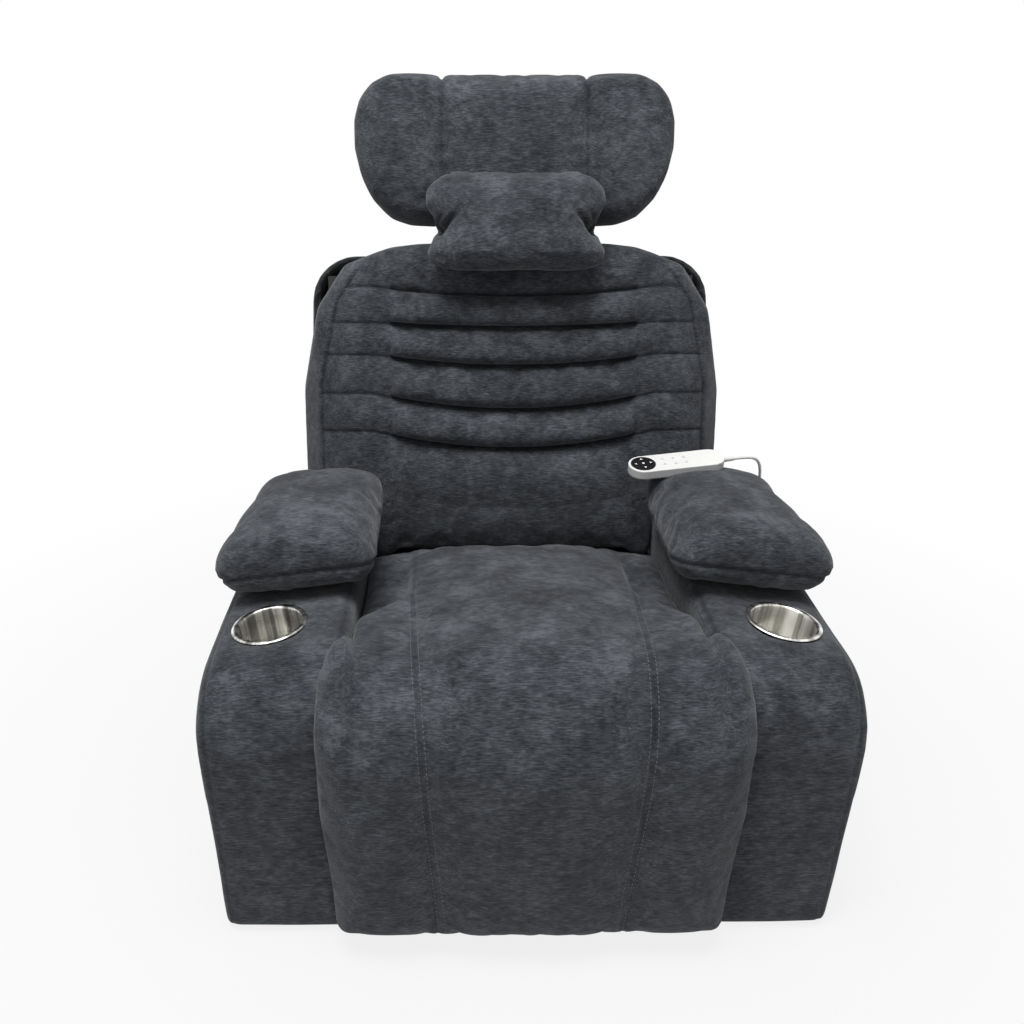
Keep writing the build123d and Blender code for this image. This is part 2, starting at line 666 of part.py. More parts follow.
BOARD_FRONT = at_depth(-LOBE_GAP) + CLEARANCE
BOARD_BACK = BOARD_FRONT + BOARD_THICKNESS
BOARD_EDGE = 20.0
BOARD_SIDE_GAP = 7.0
BOARD_HALF = PLATE_INNER_X - BOARD_SIDE_GAP
BOARD_LOW = FOOT_PAD_BOTTOM + BOARD_EDGE
with BuildPart() as footrest_board:
    with BuildSketch(front_plane(BOARD_FRONT)):
        with Locations((0, (BOARD_LOW + FOOT_PAD_TOP) / 2)):
            Rectangle(2 * BOARD_HALF, FOOT_PAD_TOP - BOARD_LOW)
    extrude(amount=-BOARD_THICKNESS)
save(footrest_board, "footrest_board")

FOOT_PIN_Y = FOOT_HINGE_Y + FOOT_CRANK * cos(radians(FOOT_CRANK_ANGLE))
FOOT_PIN_Z = FOOT_HINGE_Z + FOOT_CRANK * sin(radians(FOOT_CRANK_ANGLE))
FOOT_ARM_X = 150.0
FOOT_ARM_THICKNESS = 6.0
FOOT_ARM_WIDTH = 18.0
FOOT_ARM_INSET = 30.0
FORK_PLAY = 1.0
FORK_GAP = CRANK_THICKNESS + 2 * FORK_PLAY
CRANK_END = CRANK_PIN - 1.0
FORK_WIDTH = FORK_GAP + 2 * FORK_WALL
HUB_RADIUS = 18.0


def link_sketch(start, end, start_radius, end_radius):
    """Flat link between two round ends."""
    with Locations(start):
        Circle(start_radius)
    with Locations(end):
        Circle(end_radius)
    make_hull()


with BuildPart() as footrest_frame:
    with BuildSketch(side_plane(-INNER_X + CLEARANCE)):
        with Locations((FOOT_HINGE_Y, FOOT_HINGE_Z)):
            Circle(HINGE_TUBE / 2)
    extrude(amount=2 * (INNER_X - CLEARANCE))
    for arm_x in (-FOOT_ARM_X, FOOT_ARM_X):
        with BuildSketch(side_plane(arm_x - FOOT_ARM_THICKNESS / 2)):
            arm_end = (BOARD_BACK + FOOT_ARM_WIDTH / 2, FOOT_PAD_TOP - FOOT_ARM_INSET)
            link_sketch((FOOT_HINGE_Y, FOOT_HINGE_Z), arm_end, HUB_RADIUS, FOOT_ARM_WIDTH / 2)
            with Locations((arm_end[0], (FOOT_PAD_TOP + BOARD_LOW) / 2)):
                Rectangle(FOOT_ARM_WIDTH, FOOT_PAD_TOP - BOARD_LOW - 2 * FOOT_ARM_INSET)
        extrude(amount=FOOT_ARM_THICKNESS)
    with BuildSketch(side_plane(FOOT_DRIVE_X - CRANK_THICKNESS / 2)):
        link_sketch((FOOT_HINGE_Y, FOOT_HINGE_Z), (FOOT_PIN_Y, FOOT_PIN_Z), HUB_RADIUS, CRANK_END)
    extrude(amount=CRANK_THICKNESS)
    with BuildSketch(side_plane(FOOT_DRIVE_X - FORK_WIDTH / 2)):
        with Locations((FOOT_PIN_Y, FOOT_PIN_Z)):
            Circle(CRANK_PIN / 2)
    extrude(amount=FORK_WIDTH)
save(footrest_frame, "footrest_frame")


# Drives: fixed linear actuators whose rods end in a slotted fork round a crank pin
def pin_heights(hinge_z, crank, start_angle, travel):
    """Lowest and highest height that a crank pin reaches."""
    heights = [hinge_z + crank * sin(radians(start_angle - travel * step / 20)) for step in range(21)]
    return min(heights), max(heights)


ROD_OVERRUN = 20.0
FOOT_ROD_END = at_depth(REAR_TUBE_DEPTH + ROD_OVERRUN)
BACK_ROD_END = at_depth(330.0)
BACK_PIN_Y = BACK_PIVOT_Y + BACK_CRANK * cos(radians(BACK_CRANK_ANGLE))
BACK_PIN_Z = BACK_PIVOT_Z + BACK_CRANK * sin(radians(BACK_CRANK_ANGLE))
FOOT_PIN_RANGE = pin_heights(FOOT_HINGE_Z, FOOT_CRANK, FOOT_CRANK_ANGLE, FOOT_TRAVEL_DEG)
BACK_PIN_RANGE = pin_heights(BACK_PIVOT_Z, BACK_CRANK, BACK_CRANK_ANGLE, BACK_TRAVEL_DEG)
FORK_CHEEK = 14.0
FORK_WEB = 8.0
FORK_WEB_EDGE = 2.0


def make_rod(name, centre_x, pin_y, heights, play, rod_end):
    """Rod whose slotted fork goes round a crank pin."""
    way = 1 if rod_end > pin_y else -1
    slot_half = CRANK_PIN / 2 + play
    slot_low = heights[0] - CRANK_PIN / 2 - FORK_PLAY
    slot_high = heights[1] + CRANK_PIN / 2 + FORK_PLAY
    web_start = pin_y + way * (slot_half + FORK_CHEEK)
    with BuildPart() as rod:
        for cheek_x in (centre_x - FORK_WIDTH / 2, centre_x + FORK_GAP / 2):
            with BuildSketch(side_plane(cheek_x)):
                with Locations((pin_y, (slot_low + slot_high) / 2)):
                    Rectangle(2 * (slot_half + FORK_CHEEK), slot_high - slot_low + 2 * FORK_WALL)
                    Rectangle(2 * slot_half, slot_high - slot_low, mode=Mode.SUBTRACT)
            extrude(amount=FORK_WALL)
        with BuildSketch(side_plane(centre_x - FORK_WIDTH / 2)):
            with Locations((web_start + way * FORK_WEB / 2, DRIVE_Z)):
                Rectangle(FORK_WEB, ROD + 2 * FORK_WEB_EDGE)
        extrude(amount=FORK_WIDTH)
        with BuildSketch(front_plane(web_start)):
            with Locations((centre_x, DRIVE_Z)):
                Circle(ROD / 2)
        extrude(amount=web_start - rod_end)
    save(rod, name)


def make_actuator(name, centre_x, mouth_y, end_y):
    """Actuator tube from its mouth to its gearbox, with the motor hanging from the gearbox."""
    way = 1 if end_y > mouth_y else -1
    gearbox_y = end_y + way * GEARBOX_LENGTH / 2
    with BuildPart() as housing:
        with BuildSketch(front_plane(mouth_y)):
            with Locations((centre_x, DRIVE_Z)):
                Circle(ACTUATOR_TUBE / 2)
                Circle(ROD / 2 + RUNNING_FIT, mode=Mode.SUBTRACT)
        extrude(amount=mouth_y - end_y)
        with Locations((centre_x, gearbox_y, DRIVE_Z)):
            Box(GEARBOX, GEARBOX_LENGTH, GEARBOX)
        with BuildSketch(Plane.XY.offset(DRIVE_Z - GEARBOX / 2)):
            with Locations((centre_x, gearbox_y)):
                Circle(MOTOR / 2)
        extrude(amount=-MOTOR_LENGTH)
    save(housing, name)


FOOT_MOUTH = at_depth(FRONT_TUBE_DEPTH - CROSS_TUBE / 2)
BACK_MOUTH = at_depth(REAR_TUBE_DEPTH + 45.0)
BACK_HOUSING_END = at_depth(FRONT_TUBE_DEPTH + 70.0)
make_rod("footrest_rod", FOOT_DRIVE_X, FOOT_PIN_Y, FOOT_PIN_RANGE, FOOT_SLOT_PLAY, FOOT_ROD_END)
make_rod("recline_rod", BACK_DRIVE_X, BACK_PIN_Y, BACK_PIN_RANGE, BACK_SLOT_PLAY, BACK_ROD_END)
make_actuator("footrest_actuator", FOOT_DRIVE_X, FOOT_MOUTH, FOOT_ROD_END + ROD_OVERRUN)
make_actuator("recline_actuator", BACK_DRIVE_X, BACK_MOUTH, BACK_HOUSING_END)

CONTROL_BOX_X = -190.0
CONTROL_BOX_SIZE = (80.0, 70.0, 34.0)
CONTROL_BOX_ROUND = 4.0
with BuildPart() as control_box:
    with Locations((CONTROL_BOX_X, at_depth(REAR_TUBE_DEPTH), CROSS_TUBE_TOP)):
        Box(*CONTROL_BOX_SIZE, align=(Align.CENTER, Align.CENTER, Align.MIN))
    fillet(control_box.edges().filter_by(Axis.Z), CONTROL_BOX_ROUND)
save(control_box, "control_box")

# Rear panel between the arms, with the inlet for the power lead
REAR_PANEL_DEPTH = 652.0
REAR_PANEL_TOP = 225.0
REAR_PANEL_LOW = 15.0
INLET_X = -130.0
INLET_Z = 95.0
INLET_DIAMETER = 18.0
INLET_RIM = 5.0
INLET_RIM_HEIGHT = 3.0
INLET_INSIDE = 14.0
INLET_WALL = 3.0
INLET_POCKET = 12.0
with BuildPart() as rear_panel:
    with BuildSketch(front_plane(at_depth(REAR_PANEL_DEPTH))):
        with Locations((0, (REAR_PANEL_TOP + REAR_PANEL_LOW) / 2)):
            Rectangle(2 * (INNER_X - CLEARANCE), REAR_PANEL_TOP - REAR_PANEL_LOW)
        with Locations((INLET_X, INLET_Z)):
            Circle(INLET_DIAMETER / 2 + RUNNING_FIT, mode=Mode.SUBTRACT)
    extrude(amount=-SHELL_WALL)
save(rear_panel, "rear_panel")

with BuildPart() as power_inlet:
    with BuildSketch(front_plane(at_depth(REAR_PANEL_DEPTH) - INLET_INSIDE)):
        with Locations((INLET_X, INLET_Z)):
            Circle(INLET_DIAMETER / 2)
    extrude(amount=-(SHELL_WALL + INLET_INSIDE))
    with BuildSketch(front_plane(at_depth(REAR_PANEL_DEPTH) + SHELL_WALL)):
        with Locations((INLET_X, INLET_Z)):
            Circle(INLET_DIAMETER / 2 + INLET_RIM)
    extrude(amount=-INLET_RIM_HEIGHT)
    with BuildSketch(front_plane(at_depth(REAR_PANEL_DEPTH) + SHELL_WALL + INLET_RIM_HEIGHT)):
        with Locations((INLET_X, INLET_Z)):
            Circle(INLET_DIAMETER / 2 - INLET_WALL)
    extrude(amount=INLET_POCKET, mode=Mode.SUBTRACT)
save(power_inlet, "power_inlet")

# Backrest: welded frame with the headrest posts, hinge brackets, lever tube and webbing
FRAME_REAR = FRAME_FRONT + FRAME_BAR
WIDE_RAIL_HALF = 320.0
RAILS = ((10.0, POST_OUTER), (WING_LOW + 33, WIDE_RAIL_HALF), (330.0, WIDE_RAIL_HALF), (470.0, WIDE_RAIL_HALF))
HEAD_POST_THICKNESS = 6.0
HEAD_POST_FOOT = 8.0
HEAD_POST_EYE = 11.0
with BuildPart() as back_frame:
    with BuildSketch(back_face_plane(FRAME_FRONT)):
        for rail_low, rail_half in RAILS:
            with Locations((0, rail_low + FRAME_BAR / 2)):
                Rectangle(2 * rail_half, FRAME_BAR)
        for post_x in (POST_OUTER - FRAME_BAR / 2, FRAME_BAR / 2 - POST_OUTER):
            with Locations((post_x, (RAILS[0][0] + RAILS[3][0] + FRAME_BAR) / 2)):
                Rectangle(FRAME_BAR, RAILS[3][0] + FRAME_BAR - RAILS[0][0])
        for post_x in (WIDE_RAIL_HALF - FRAME_BAR / 2, FRAME_BAR / 2 - WIDE_RAIL_HALF):
            with Locations((post_x, (RAILS[1][0] + RAILS[3][0] + FRAME_BAR) / 2)):
                Rectangle(FRAME_BAR, RAILS[3][0] + FRAME_BAR - RAILS[1][0])
    extrude(amount=-FRAME_BAR)
    for post_x in (-HEAD_POST_X, HEAD_POST_X):
        with BuildSketch(back_side_plane(post_x - HEAD_POST_THICKNESS / 2)):
            post_foot = (FRAME_REAR - HEAD_POST_FOOT, RAILS[3][0] + HEAD_POST_FOOT)
            link_sketch(post_foot, (HEAD_PIVOT_A, HEAD_PIVOT_B), HEAD_POST_FOOT, HEAD_POST_EYE)
            with Locations((HEAD_PIVOT_A, HEAD_PIVOT_B)):
                Circle(HEAD_PIN / 2 + RUNNING_FIT, mode=Mode.SUBTRACT)
        extrude(amount=HEAD_POST_THICKNESS)
save(back_frame, "back_frame")

with BuildPart() as back_brackets:
    for side in (-1, 1):
        bracket_x = side * POST_OUTER if side > 0 else -POST_OUTER - BRACKET_THICKNESS
        with BuildSketch(back_side_plane(bracket_x)):
            link_sketch((0, 0), (FRAME_FRONT + FRAME_BAR / 2, BRACKET_FOOT), HUB_RADIUS, FRAME_BAR / 2)
            with Locations((FRAME_FRONT + FRAME_BAR / 2, BRACKET_FOOT + BRACKET_HEIGHT / 2)):
                Rectangle(FRAME_BAR, BRACKET_HEIGHT)
        extrude(amount=BRACKET_THICKNESS)
        pin_face = Plane(origin=(side * POST_OUTER, BACK_PIVOT_Y, BACK_PIVOT_Z), z_dir=(side, 0, 0))
        with BuildSketch(pin_face):
            Circle(BACK_PIN / 2)
        extrude(amount=INNER_X - CLEARANCE - POST_OUTER)
save(back_brackets, "back_brackets")

LEVER_TUBE = 25.0
with BuildPart() as back_lever:
    with BuildSketch(side_plane(-POST_OUTER)):
        with Locations((BACK_PIVOT_Y, BACK_PIVOT_Z)):
            Circle(LEVER_TUBE / 2)
    extrude(amount=2 * POST_OUTER)
    with BuildSketch(side_plane(BACK_DRIVE_X - CRANK_THICKNESS / 2)):
        link_sketch((BACK_PIVOT_Y, BACK_PIVOT_Z), (BACK_PIN_Y, BACK_PIN_Z), HUB_RADIUS, CRANK_END)
    extrude(amount=CRANK_THICKNESS)
    with BuildSketch(side_plane(BACK_DRIVE_X - FORK_WIDTH / 2)):
        with Locations((BACK_PIN_Y, BACK_PIN_Z)):
            Circle(CRANK_PIN / 2)
    extrude(amount=FORK_WIDTH)
save(back_lever, "back_lever")

WEB_COUNT = 5
WEB_WIDTH = 40.0
WEB_THICKNESS = 1.5
WEB_START = 75.0
WEB_PITCH = 85.0
with BuildPart() as back_webbing:
    with BuildSketch(back_face_plane(FRAME_FRONT)):
        for count in range(WEB_COUNT):
            with Locations((0, WEB_START + count * WEB_PITCH)):
                Rectangle(2 * POST_OUTER, WEB_WIDTH)
    extrude(amount=WEB_THICKNESS)
save(back_webbing, "back_webbing")

# Outer back: a padded shell with shoulders above the arms and a narrow foot between them
SHELL_FOOT_GAP = 9.0
SHELL_FOOT_HALF = INNER_X - SHELL_FOOT_GAP
SHELL_FRONT = BACK_REAR + 2 * CLEARANCE
SHELL_WINDOW_EDGE = 18.0
SHELL_WINDOW_HALF = HEAD_POST_X + SHELL_WINDOW_EDGE


def shell_corners(inset):
    """Corners of the outer back, drawn in by a wall's thickness for its pocket."""
    foot = SHELL_FOOT_HALF - inset
    half = SHELL_HALF - inset
    low = SHELL_LOW + inset
    wing = WING_LOW + inset
    top = SHELL_TOP - inset
    right = [(foot, low), (foot, wing), (half, wing), (SHELL_TOP_HALF - inset, top)]
    return right + [(-x, b) for x, b in reversed(right)]


with BuildPart() as outer_back:
    with BuildSketch(back_face_plane(SHELL_REAR)) as shell_sketch:
        with BuildLine():
            Polyline(shell_corners(0), close=True)
        make_face()
        fillet(shell_sketch.vertices().group_by(Axis.Y)[-1], SHELL_CORNER)
    extrude(amount=SHELL_REAR - SHELL_FRONT)
    fillet(outer_back.faces().sort_by(Axis.Y)[-1].edges(), SHELL_WALL - 1)
    with BuildSketch(back_face_plane(SHELL_REAR - SHELL_WALL)) as pocket_sketch:
        with BuildLine():
            Polyline(shell_corners(SHELL_WALL), close=True)
        make_face()
        fillet(pocket_sketch.vertices().group_by(Axis.Y)[-1], SHELL_CORNER - SHELL_WALL)
    extrude(amount=SHELL_REAR - SHELL_FRONT, mode=Mode.SUBTRACT)
    with BuildSketch(back_face_plane(SHELL_REAR - SHELL_WALL)):
        with Locations((0, SHELL_TOP)):
            Rectangle(2 * SHELL_WINDOW_HALF, 4 * SHELL_WALL)
    extrude(amount=SHELL_REAR, mode=Mode.SUBTRACT)
save(outer_back, "outer_back")

# Back cushion: ribs between smile-shaped seams, side panels and wings that clear the arms
BACK_STATIONS = (0.0, 80.0, 160.0, 205.0, WAIST_HALF, INNER_X - 2, 284.0, 332.0, WING_HALF)
BACK_TOPS = (BACK_TOP, BACK_TOP - 1, BACK_TOP - 4, BACK_TOP - 9, 531.0, 529.0, 514.0, 446.0, 318.0)
BACK_FRONTS = (BACK_FRONT, BACK_FRONT, BACK_FRONT, -40.0, -39.0, -38.0, -35.0, -18.0, 18.0)
BACK_BULGES = (CHANNEL_BULGE, CHANNEL_BULGE, CHANNEL_BULGE - 1, 8.0, 5.0, 4.0, 3.0, 2.0, 1.0)
CHANNEL_SPACING = 14.0


def back_outline(x):
    """Upright section of the back cushion at a distance from its middle."""
    top = between(x, BACK_STATIONS, BACK_TOPS)
    front = between(x, BACK_STATIONS, BACK_FRONTS)
    bulge = between(x, BACK_STATIONS, BACK_BULGES)
    low = BACK_LOW if x <= WAIST_HALF else WING_LOW
    spread = min(x / CHANNEL_HALF, 1.0) ** 2
    seams = []
    for rank, (height, rise) in enumerate(zip(CHANNEL_HEIGHTS, CHANNEL_RISES)):
        seam = min(height + rise * spread, top - 22 - CHANNEL_SPACING * rank)
        seams.append((front, seam, bulge))
    outline(
        (front + 6, low, 0),
        (BACK_REAR, low, 0),
        (BACK_REAR, top - 16, 9),
        (front + 12, top - 8, bulge),
        *seams,
    )


with BuildPart() as back_cushion:
    for station in both_sides(BACK_STATIONS):
        with BuildSketch(back_side_plane(station)):
            with BuildLine():
                back_outline(abs(station))
            make_face()
    loft(ruled=True)
save(back_cushion, "back_cushion")

# Headrest: pivot pin, welded frame with its lever, board, cushion with three panels
HEAD_PIN_HALF = HEAD_POST_X + 10.0
HEAD_PIN_PLANE = Plane(
    origin=back_point(-HEAD_PIN_HALF, HEAD_PIVOT_A, HEAD_PIVOT_B), x_dir=BACK_OUT, z_dir=(1, 0, 0)
)
with BuildPart() as headrest_pin:
    with BuildSketch(HEAD_PIN_PLANE):
        Circle(HEAD_PIN / 2)
    extrude(amount=2 * HEAD_PIN_HALF)
save(headrest_pin, "headrest_pin")

HEAD_TUBE = 18.0
HEAD_TUBE_HALF = HEAD_POST_X - HEAD_POST_THICKNESS / 2 - CLEARANCE
HEAD_ARM_THICKNESS = 5.0
HEAD_ARM_WIDTH = 12.0
HEAD_ARM_RISE = 30.0
HEAD_ARM_HUB = 10.0
HEAD_ARM_ROUND = 9.0
HEAD_LEVER_HUB = 11.0
HEAD_BOARD_FRONT = BACK_REAR + CLEARANCE
HEAD_BOARD_THICKNESS = 12.0
HEAD_BOARD_REAR = HEAD_BOARD_FRONT + HEAD_BOARD_THICKNESS
HEAD_BOARD_HALF = 190.0
HEAD_BOARD_LOW = HEAD_LOW + 28.0
HEAD_BOARD_TOP = HEAD_TOP - 30.0
HEAD_BOARD_ROUND = 40.0
HEAD_LEVER_THICKNESS = 6.0
HEAD_FORK_WALL = 3.5
HEAD_FORK_GAP = HEAD_LEVER_THICKNESS + 1.2
HEAD_FORK_WIDTH = HEAD_FORK_GAP + 2 * HEAD_FORK_WALL
HEAD_CRANK_PIN = 6.0
HEAD_HALF_TRAVEL = radians(HEAD_TRAVEL_DEG / 2)
HEAD_PIN_A = HEAD_PIVOT_A + HEAD_CRANK * cos(HEAD_HALF_TRAVEL)
HEAD_PIN_B = HEAD_PIVOT_B + HEAD_CRANK * sin(HEAD_HALF_TRAVEL)
HEAD_STROKE = 2 * HEAD_CRANK * sin(HEAD_HALF_TRAVEL)

with BuildPart() as headrest_frame:
    with BuildSketch(back_side_plane(-HEAD_TUBE_HALF)):
        with Locations((HEAD_PIVOT_A, HEAD_PIVOT_B)):
            Circle(HEAD_TUBE / 2)
    extrude(amount=2 * HEAD_TUBE_HALF)
    for arm_x in (-HEAD_ARM_X, HEAD_ARM_X):
        with BuildSketch(back_side_plane(arm_x - HEAD_ARM_THICKNESS / 2)):
            arm_knee = (HEAD_BOARD_REAR + HEAD_ARM_WIDTH, HEAD_BOARD_LOW + HEAD_ARM_RISE)
            link_sketch((HEAD_PIVOT_A, HEAD_PIVOT_B), arm_knee, HEAD_ARM_HUB, HEAD_ARM_ROUND)
            with Locations((HEAD_BOARD_REAR + HEAD_ARM_WIDTH / 2, (HEAD_BOARD_LOW + HEAD_BOARD_TOP) / 2)):
                Rectangle(HEAD_ARM_WIDTH, HEAD_BOARD_TOP - HEAD_BOARD_LOW - 2 * HEAD_ARM_HUB)
        extrude(amount=HEAD_ARM_THICKNESS)
    with BuildSketch(back_side_plane(-HEAD_LEVER_THICKNESS / 2)):
        link_sketch((HEAD_PIVOT_A, HEAD_PIVOT_B), (HEAD_PIN_A, HEAD_PIN_B), HEAD_LEVER_HUB, HEAD_CRANK_PIN - 1)
    extrude(amount=HEAD_LEVER_THICKNESS)
    with BuildSketch(back_side_plane(-HEAD_FORK_WIDTH / 2)):
        with Locations((HEAD_PIN_A, HEAD_PIN_B)):
            Circle(HEAD_CRANK_PIN / 2)
    extrude(amount=HEAD_FORK_WIDTH)
    with BuildSketch(HEAD_PIN_PLANE):
        Circle(HEAD_PIN / 2 + RUNNING_FIT)
    extrude(amount=2 * HEAD_PIN_HALF, mode=Mode.SUBTRACT)
save(headrest_frame, "headrest_frame")

with BuildPart() as headrest_board:
    with BuildSketch(back_face_plane(HEAD_BOARD_REAR)):
        with Locations((0, (HEAD_BOARD_LOW + HEAD_BOARD_TOP) / 2)):
            RectangleRounded(2 * HEAD_BOARD_HALF, HEAD_BOARD_TOP - HEAD_BOARD_LOW, HEAD_BOARD_ROUND)
    extrude(amount=HEAD_BOARD_THICKNESS)
save(headrest_board, "headrest_board")

HEAD_COVER_EDGE = 14.0
HEAD_COVER_REAR = HEAD_BOARD_REAR + 36.0
HEAD_COVER_WALL = 8.0
HEAD_COVER_NOTCH = 60.0
HEAD_BOARD_HEIGHT = HEAD_BOARD_TOP - HEAD_BOARD_LOW
HEAD_BOARD_MIDDLE = (HEAD_BOARD_TOP + HEAD_BOARD_LOW) / 2
with BuildPart() as headrest_back:
    with BuildSketch(back_face_plane(HEAD_COVER_REAR)):
        with Locations((0, HEAD_BOARD_MIDDLE)):
            RectangleRounded(
                2 * (HEAD_BOARD_HALF + HEAD_COVER_EDGE),
                HEAD_BOARD_HEIGHT + 2 * HEAD_COVER_EDGE,
                HEAD_BOARD_ROUND + HEAD_COVER_EDGE,
            )
    extrude(amount=HEAD_COVER_REAR - HEAD_BOARD_FRONT)
    fillet(headrest_back.faces().sort_by(Axis.Y)[-1].edges(), HEAD_COVER_WALL - 1)
    with BuildSketch(back_face_plane(HEAD_COVER_REAR - HEAD_COVER_WALL)):
        with Locations((0, HEAD_BOARD_MIDDLE)):
            RectangleRounded(
                2 * (HEAD_BOARD_HALF + CLEARANCE), HEAD_BOARD_HEIGHT + 2 * CLEARANCE, HEAD_BOARD_ROUND
            )
        with Locations((0, HEAD_BOARD_LOW)):
            Rectangle(2 * (HEAD_ARM_X + HEAD_ARM_THICKNESS), HEAD_COVER_NOTCH)
    extrude(amount=HEAD_COVER_REAR, mode=Mode.SUBTRACT)
save(headrest_back, "headrest_back")

HEAD_SLOT_PLAY = 0.6
HEAD_FORK_EDGE = 3.0
HEAD_SLOT_REACH = 4.0
HEAD_ROD_WEB = 4.0
HEAD_ROD_LENGTH = 90.0
with BuildPart() as headrest_rod:
    for cheek_x in (-HEAD_FORK_WIDTH / 2, HEAD_FORK_GAP / 2):
        with BuildSketch(back_side_plane(cheek_x)):
            with Locations((HEAD_PIN_A, HEAD_PIN_B)):
                slot_width = HEAD_CRANK_PIN + HEAD_SLOT_REACH
                slot_height = HEAD_CRANK_PIN + 2 * HEAD_SLOT_PLAY
                Rectangle(slot_width + 2 * HEAD_FORK_EDGE, slot_height + 2 * HEAD_FORK_EDGE)
                Rectangle(slot_width, slot_height, mode=Mode.SUBTRACT)
        extrude(amount=HEAD_FORK_WALL)
    fork_low = HEAD_PIN_B - HEAD_CRANK_PIN / 2 - HEAD_SLOT_PLAY - HEAD_FORK_EDGE
    with BuildSketch(back_level_plane(fork_low - HEAD_STROKE)):
        with Locations((0, HEAD_PIN_A)):
            Rectangle(HEAD_FORK_WIDTH, HEAD_ROD)
            Rectangle(HEAD_FORK_GAP, HEAD_ROD, mode=Mode.SUBTRACT)
    extrude(amount=HEAD_STROKE)
    with BuildSketch(back_level_plane(fork_low - HEAD_STROKE - HEAD_ROD_WEB)):
        with Locations((0, HEAD_PIN_A)):
            Rectangle(HEAD_FORK_WIDTH, HEAD_ROD)
    extrude(amount=HEAD_ROD_WEB)
    with BuildSketch(back_level_plane(fork_low - HEAD_STROKE - HEAD_ROD_WEB)):
        with Locations((0, HEAD_PIN_A)):
            Circle(HEAD_ROD / 2)
    extrude(amount=-HEAD_ROD_LENGTH)
save(headrest_rod, "headrest_rod")

HEAD_ACTUATOR_TOP = 500.0
HEAD_ACTUATOR_LOW = 330.0
HEAD_MOTOR_X = 30.0
HEAD_MOTOR = 21.0
HEAD_MOTOR_LENGTH = 70.0
HEAD_FOOT_WIDTH = 16.0
with BuildPart() as headrest_actuator:
    with BuildSketch(back_level_plane(HEAD_ACTUATOR_TOP)):
        with Locations((0, HEAD_PIN_A)):
            Circle(HEAD_ACTUATOR / 2)
            Circle(HEAD_ROD / 2 + RUNNING_FIT, mode=Mode.SUBTRACT)
    extrude(amount=HEAD_ACTUATOR_LOW - HEAD_ACTUATOR_TOP)
    with BuildSketch(back_level_plane(HEAD_ACTUATOR_LOW)):
        with Locations((HEAD_MOTOR_X / 2, HEAD_PIN_A)):
            Rectangle(HEAD_MOTOR_X + HEAD_ACTUATOR, HEAD_ACTUATOR)
    extrude(amount=-HEAD_ACTUATOR)
    with BuildSketch(back_level_plane(HEAD_ACTUATOR_LOW)):
        with Locations((HEAD_MOTOR_X, HEAD_PIN_A)):
            Circle(HEAD_MOTOR / 2)
    extrude(amount=HEAD_MOTOR_LENGTH)
    with BuildSketch(back_level_plane(HEAD_ACTUATOR_LOW)):
        with Locations((0, (FRAME_REAR + HEAD_PIN_A - HEAD_ROD) / 2)):
            Rectangle(HEAD_FOOT_WIDTH, HEAD_PIN_A - HEAD_ROD - FRAME_REAR)
    extrude(amount=FRAME_BAR)
save(headrest_actuator, "headrest_actuator")

HEAD_STATIONS = (0.0, 60.0, HEAD_SEAM - 8, HEAD_SEAM, HEAD_SEAM + 8, 170.0, 205.0, 232.0, 250.0, HEAD_HALF)
HEAD_LOWS = (0.0, 0.0, 0.0, 2.0, 0.0, 2.0, 13.0, 41.0, 78.0, 118.0)
HEAD_DROPS = (0.0, 0.0, 1.0, 6.0, 1.0, 0.0, 2.0, 17.0, 40.0, 72.0)
HEAD_FRONTS = (-46.0, -46.0, -45.5, -42.0, -45.5, -50.0, -53.0, -52.0, -44.0, -26.0)
HEAD_REARS = (BACK_REAR, BACK_REAR, BACK_REAR, BACK_REAR, BACK_REAR, BACK_REAR, 52.0, 36.0, 18.0, -6.0)


def head_outline(x):
    """Upright section of the headrest cushion at a distance from its middle."""
    low = HEAD_LOW + between(x, HEAD_STATIONS, HEAD_LOWS)
    top = HEAD_TOP - between(x, HEAD_STATIONS, HEAD_DROPS)
    front = between(x, HEAD_STATIONS, HEAD_FRONTS)
    rear = between(x, HEAD_STATIONS, HEAD_REARS)
    thin = min(1.0, (rear - front) / 100)
    outline(
        (front + 10 * thin, low + 16 * thin, 14 * thin),
        (rear, low + 12 * thin, 0),
        (rear, top - 16 * thin, 16 * thin),
        (front + 14 * thin, top - 16 * thin, 4 * thin),
    )


with BuildPart() as headrest_cushion:
    for station in both_sides(HEAD_STATIONS):
        with BuildSketch(back_side_plane(station)):
            with BuildLine():
                head_outline(abs(station))
            make_face()
    loft(ruled=True)
save(headrest_cushion, "headrest_cushion")

# Neck pillow: two lobes with a pinched waist, held by a hook strip
PILLOW_LEVELS = (493.0, 501.0, 520.0, 540.0, 556.0, 575.0, 600.0, 622.0, 642.0, 652.0)
PILLOW_HALVES = (112.0, 132.0, 138.0, 130.0, 124.0, 132.0, 145.0, 143.0, 128.0, 104.0)
PILLOW_FRONTS = (-108.0, -122.0, -130.0, -124.0, -116.0, -116.0, -114.0, -104.0, -84.0, -68.0)
PILLOW_REARS = (-84.0, -70.0, -60.0, -55.0, -55.0, -51.0, PILLOW_BACK, PILLOW_BACK, PILLOW_BACK, -52.0)

with BuildPart() as neck_pillow:
    for level, half, front, rear in zip(PILLOW_LEVELS, PILLOW_HALVES, PILLOW_FRONTS, PILLOW_REARS):
        depth = rear - front
        with BuildSketch(back_level_plane(level)):
            with BuildLine():
                outline(
                    (-half * 0.9, front + depth * 0.3, depth * 0.28),
                    (half * 0.9, front + depth * 0.3, depth * 0.2),
                    (half * 0.9, rear, 0),
                    (-half * 0.9, rear, depth * 0.2),
                )
            make_face()
    loft(ruled=True)
save(neck_pillow, "neck_pillow")

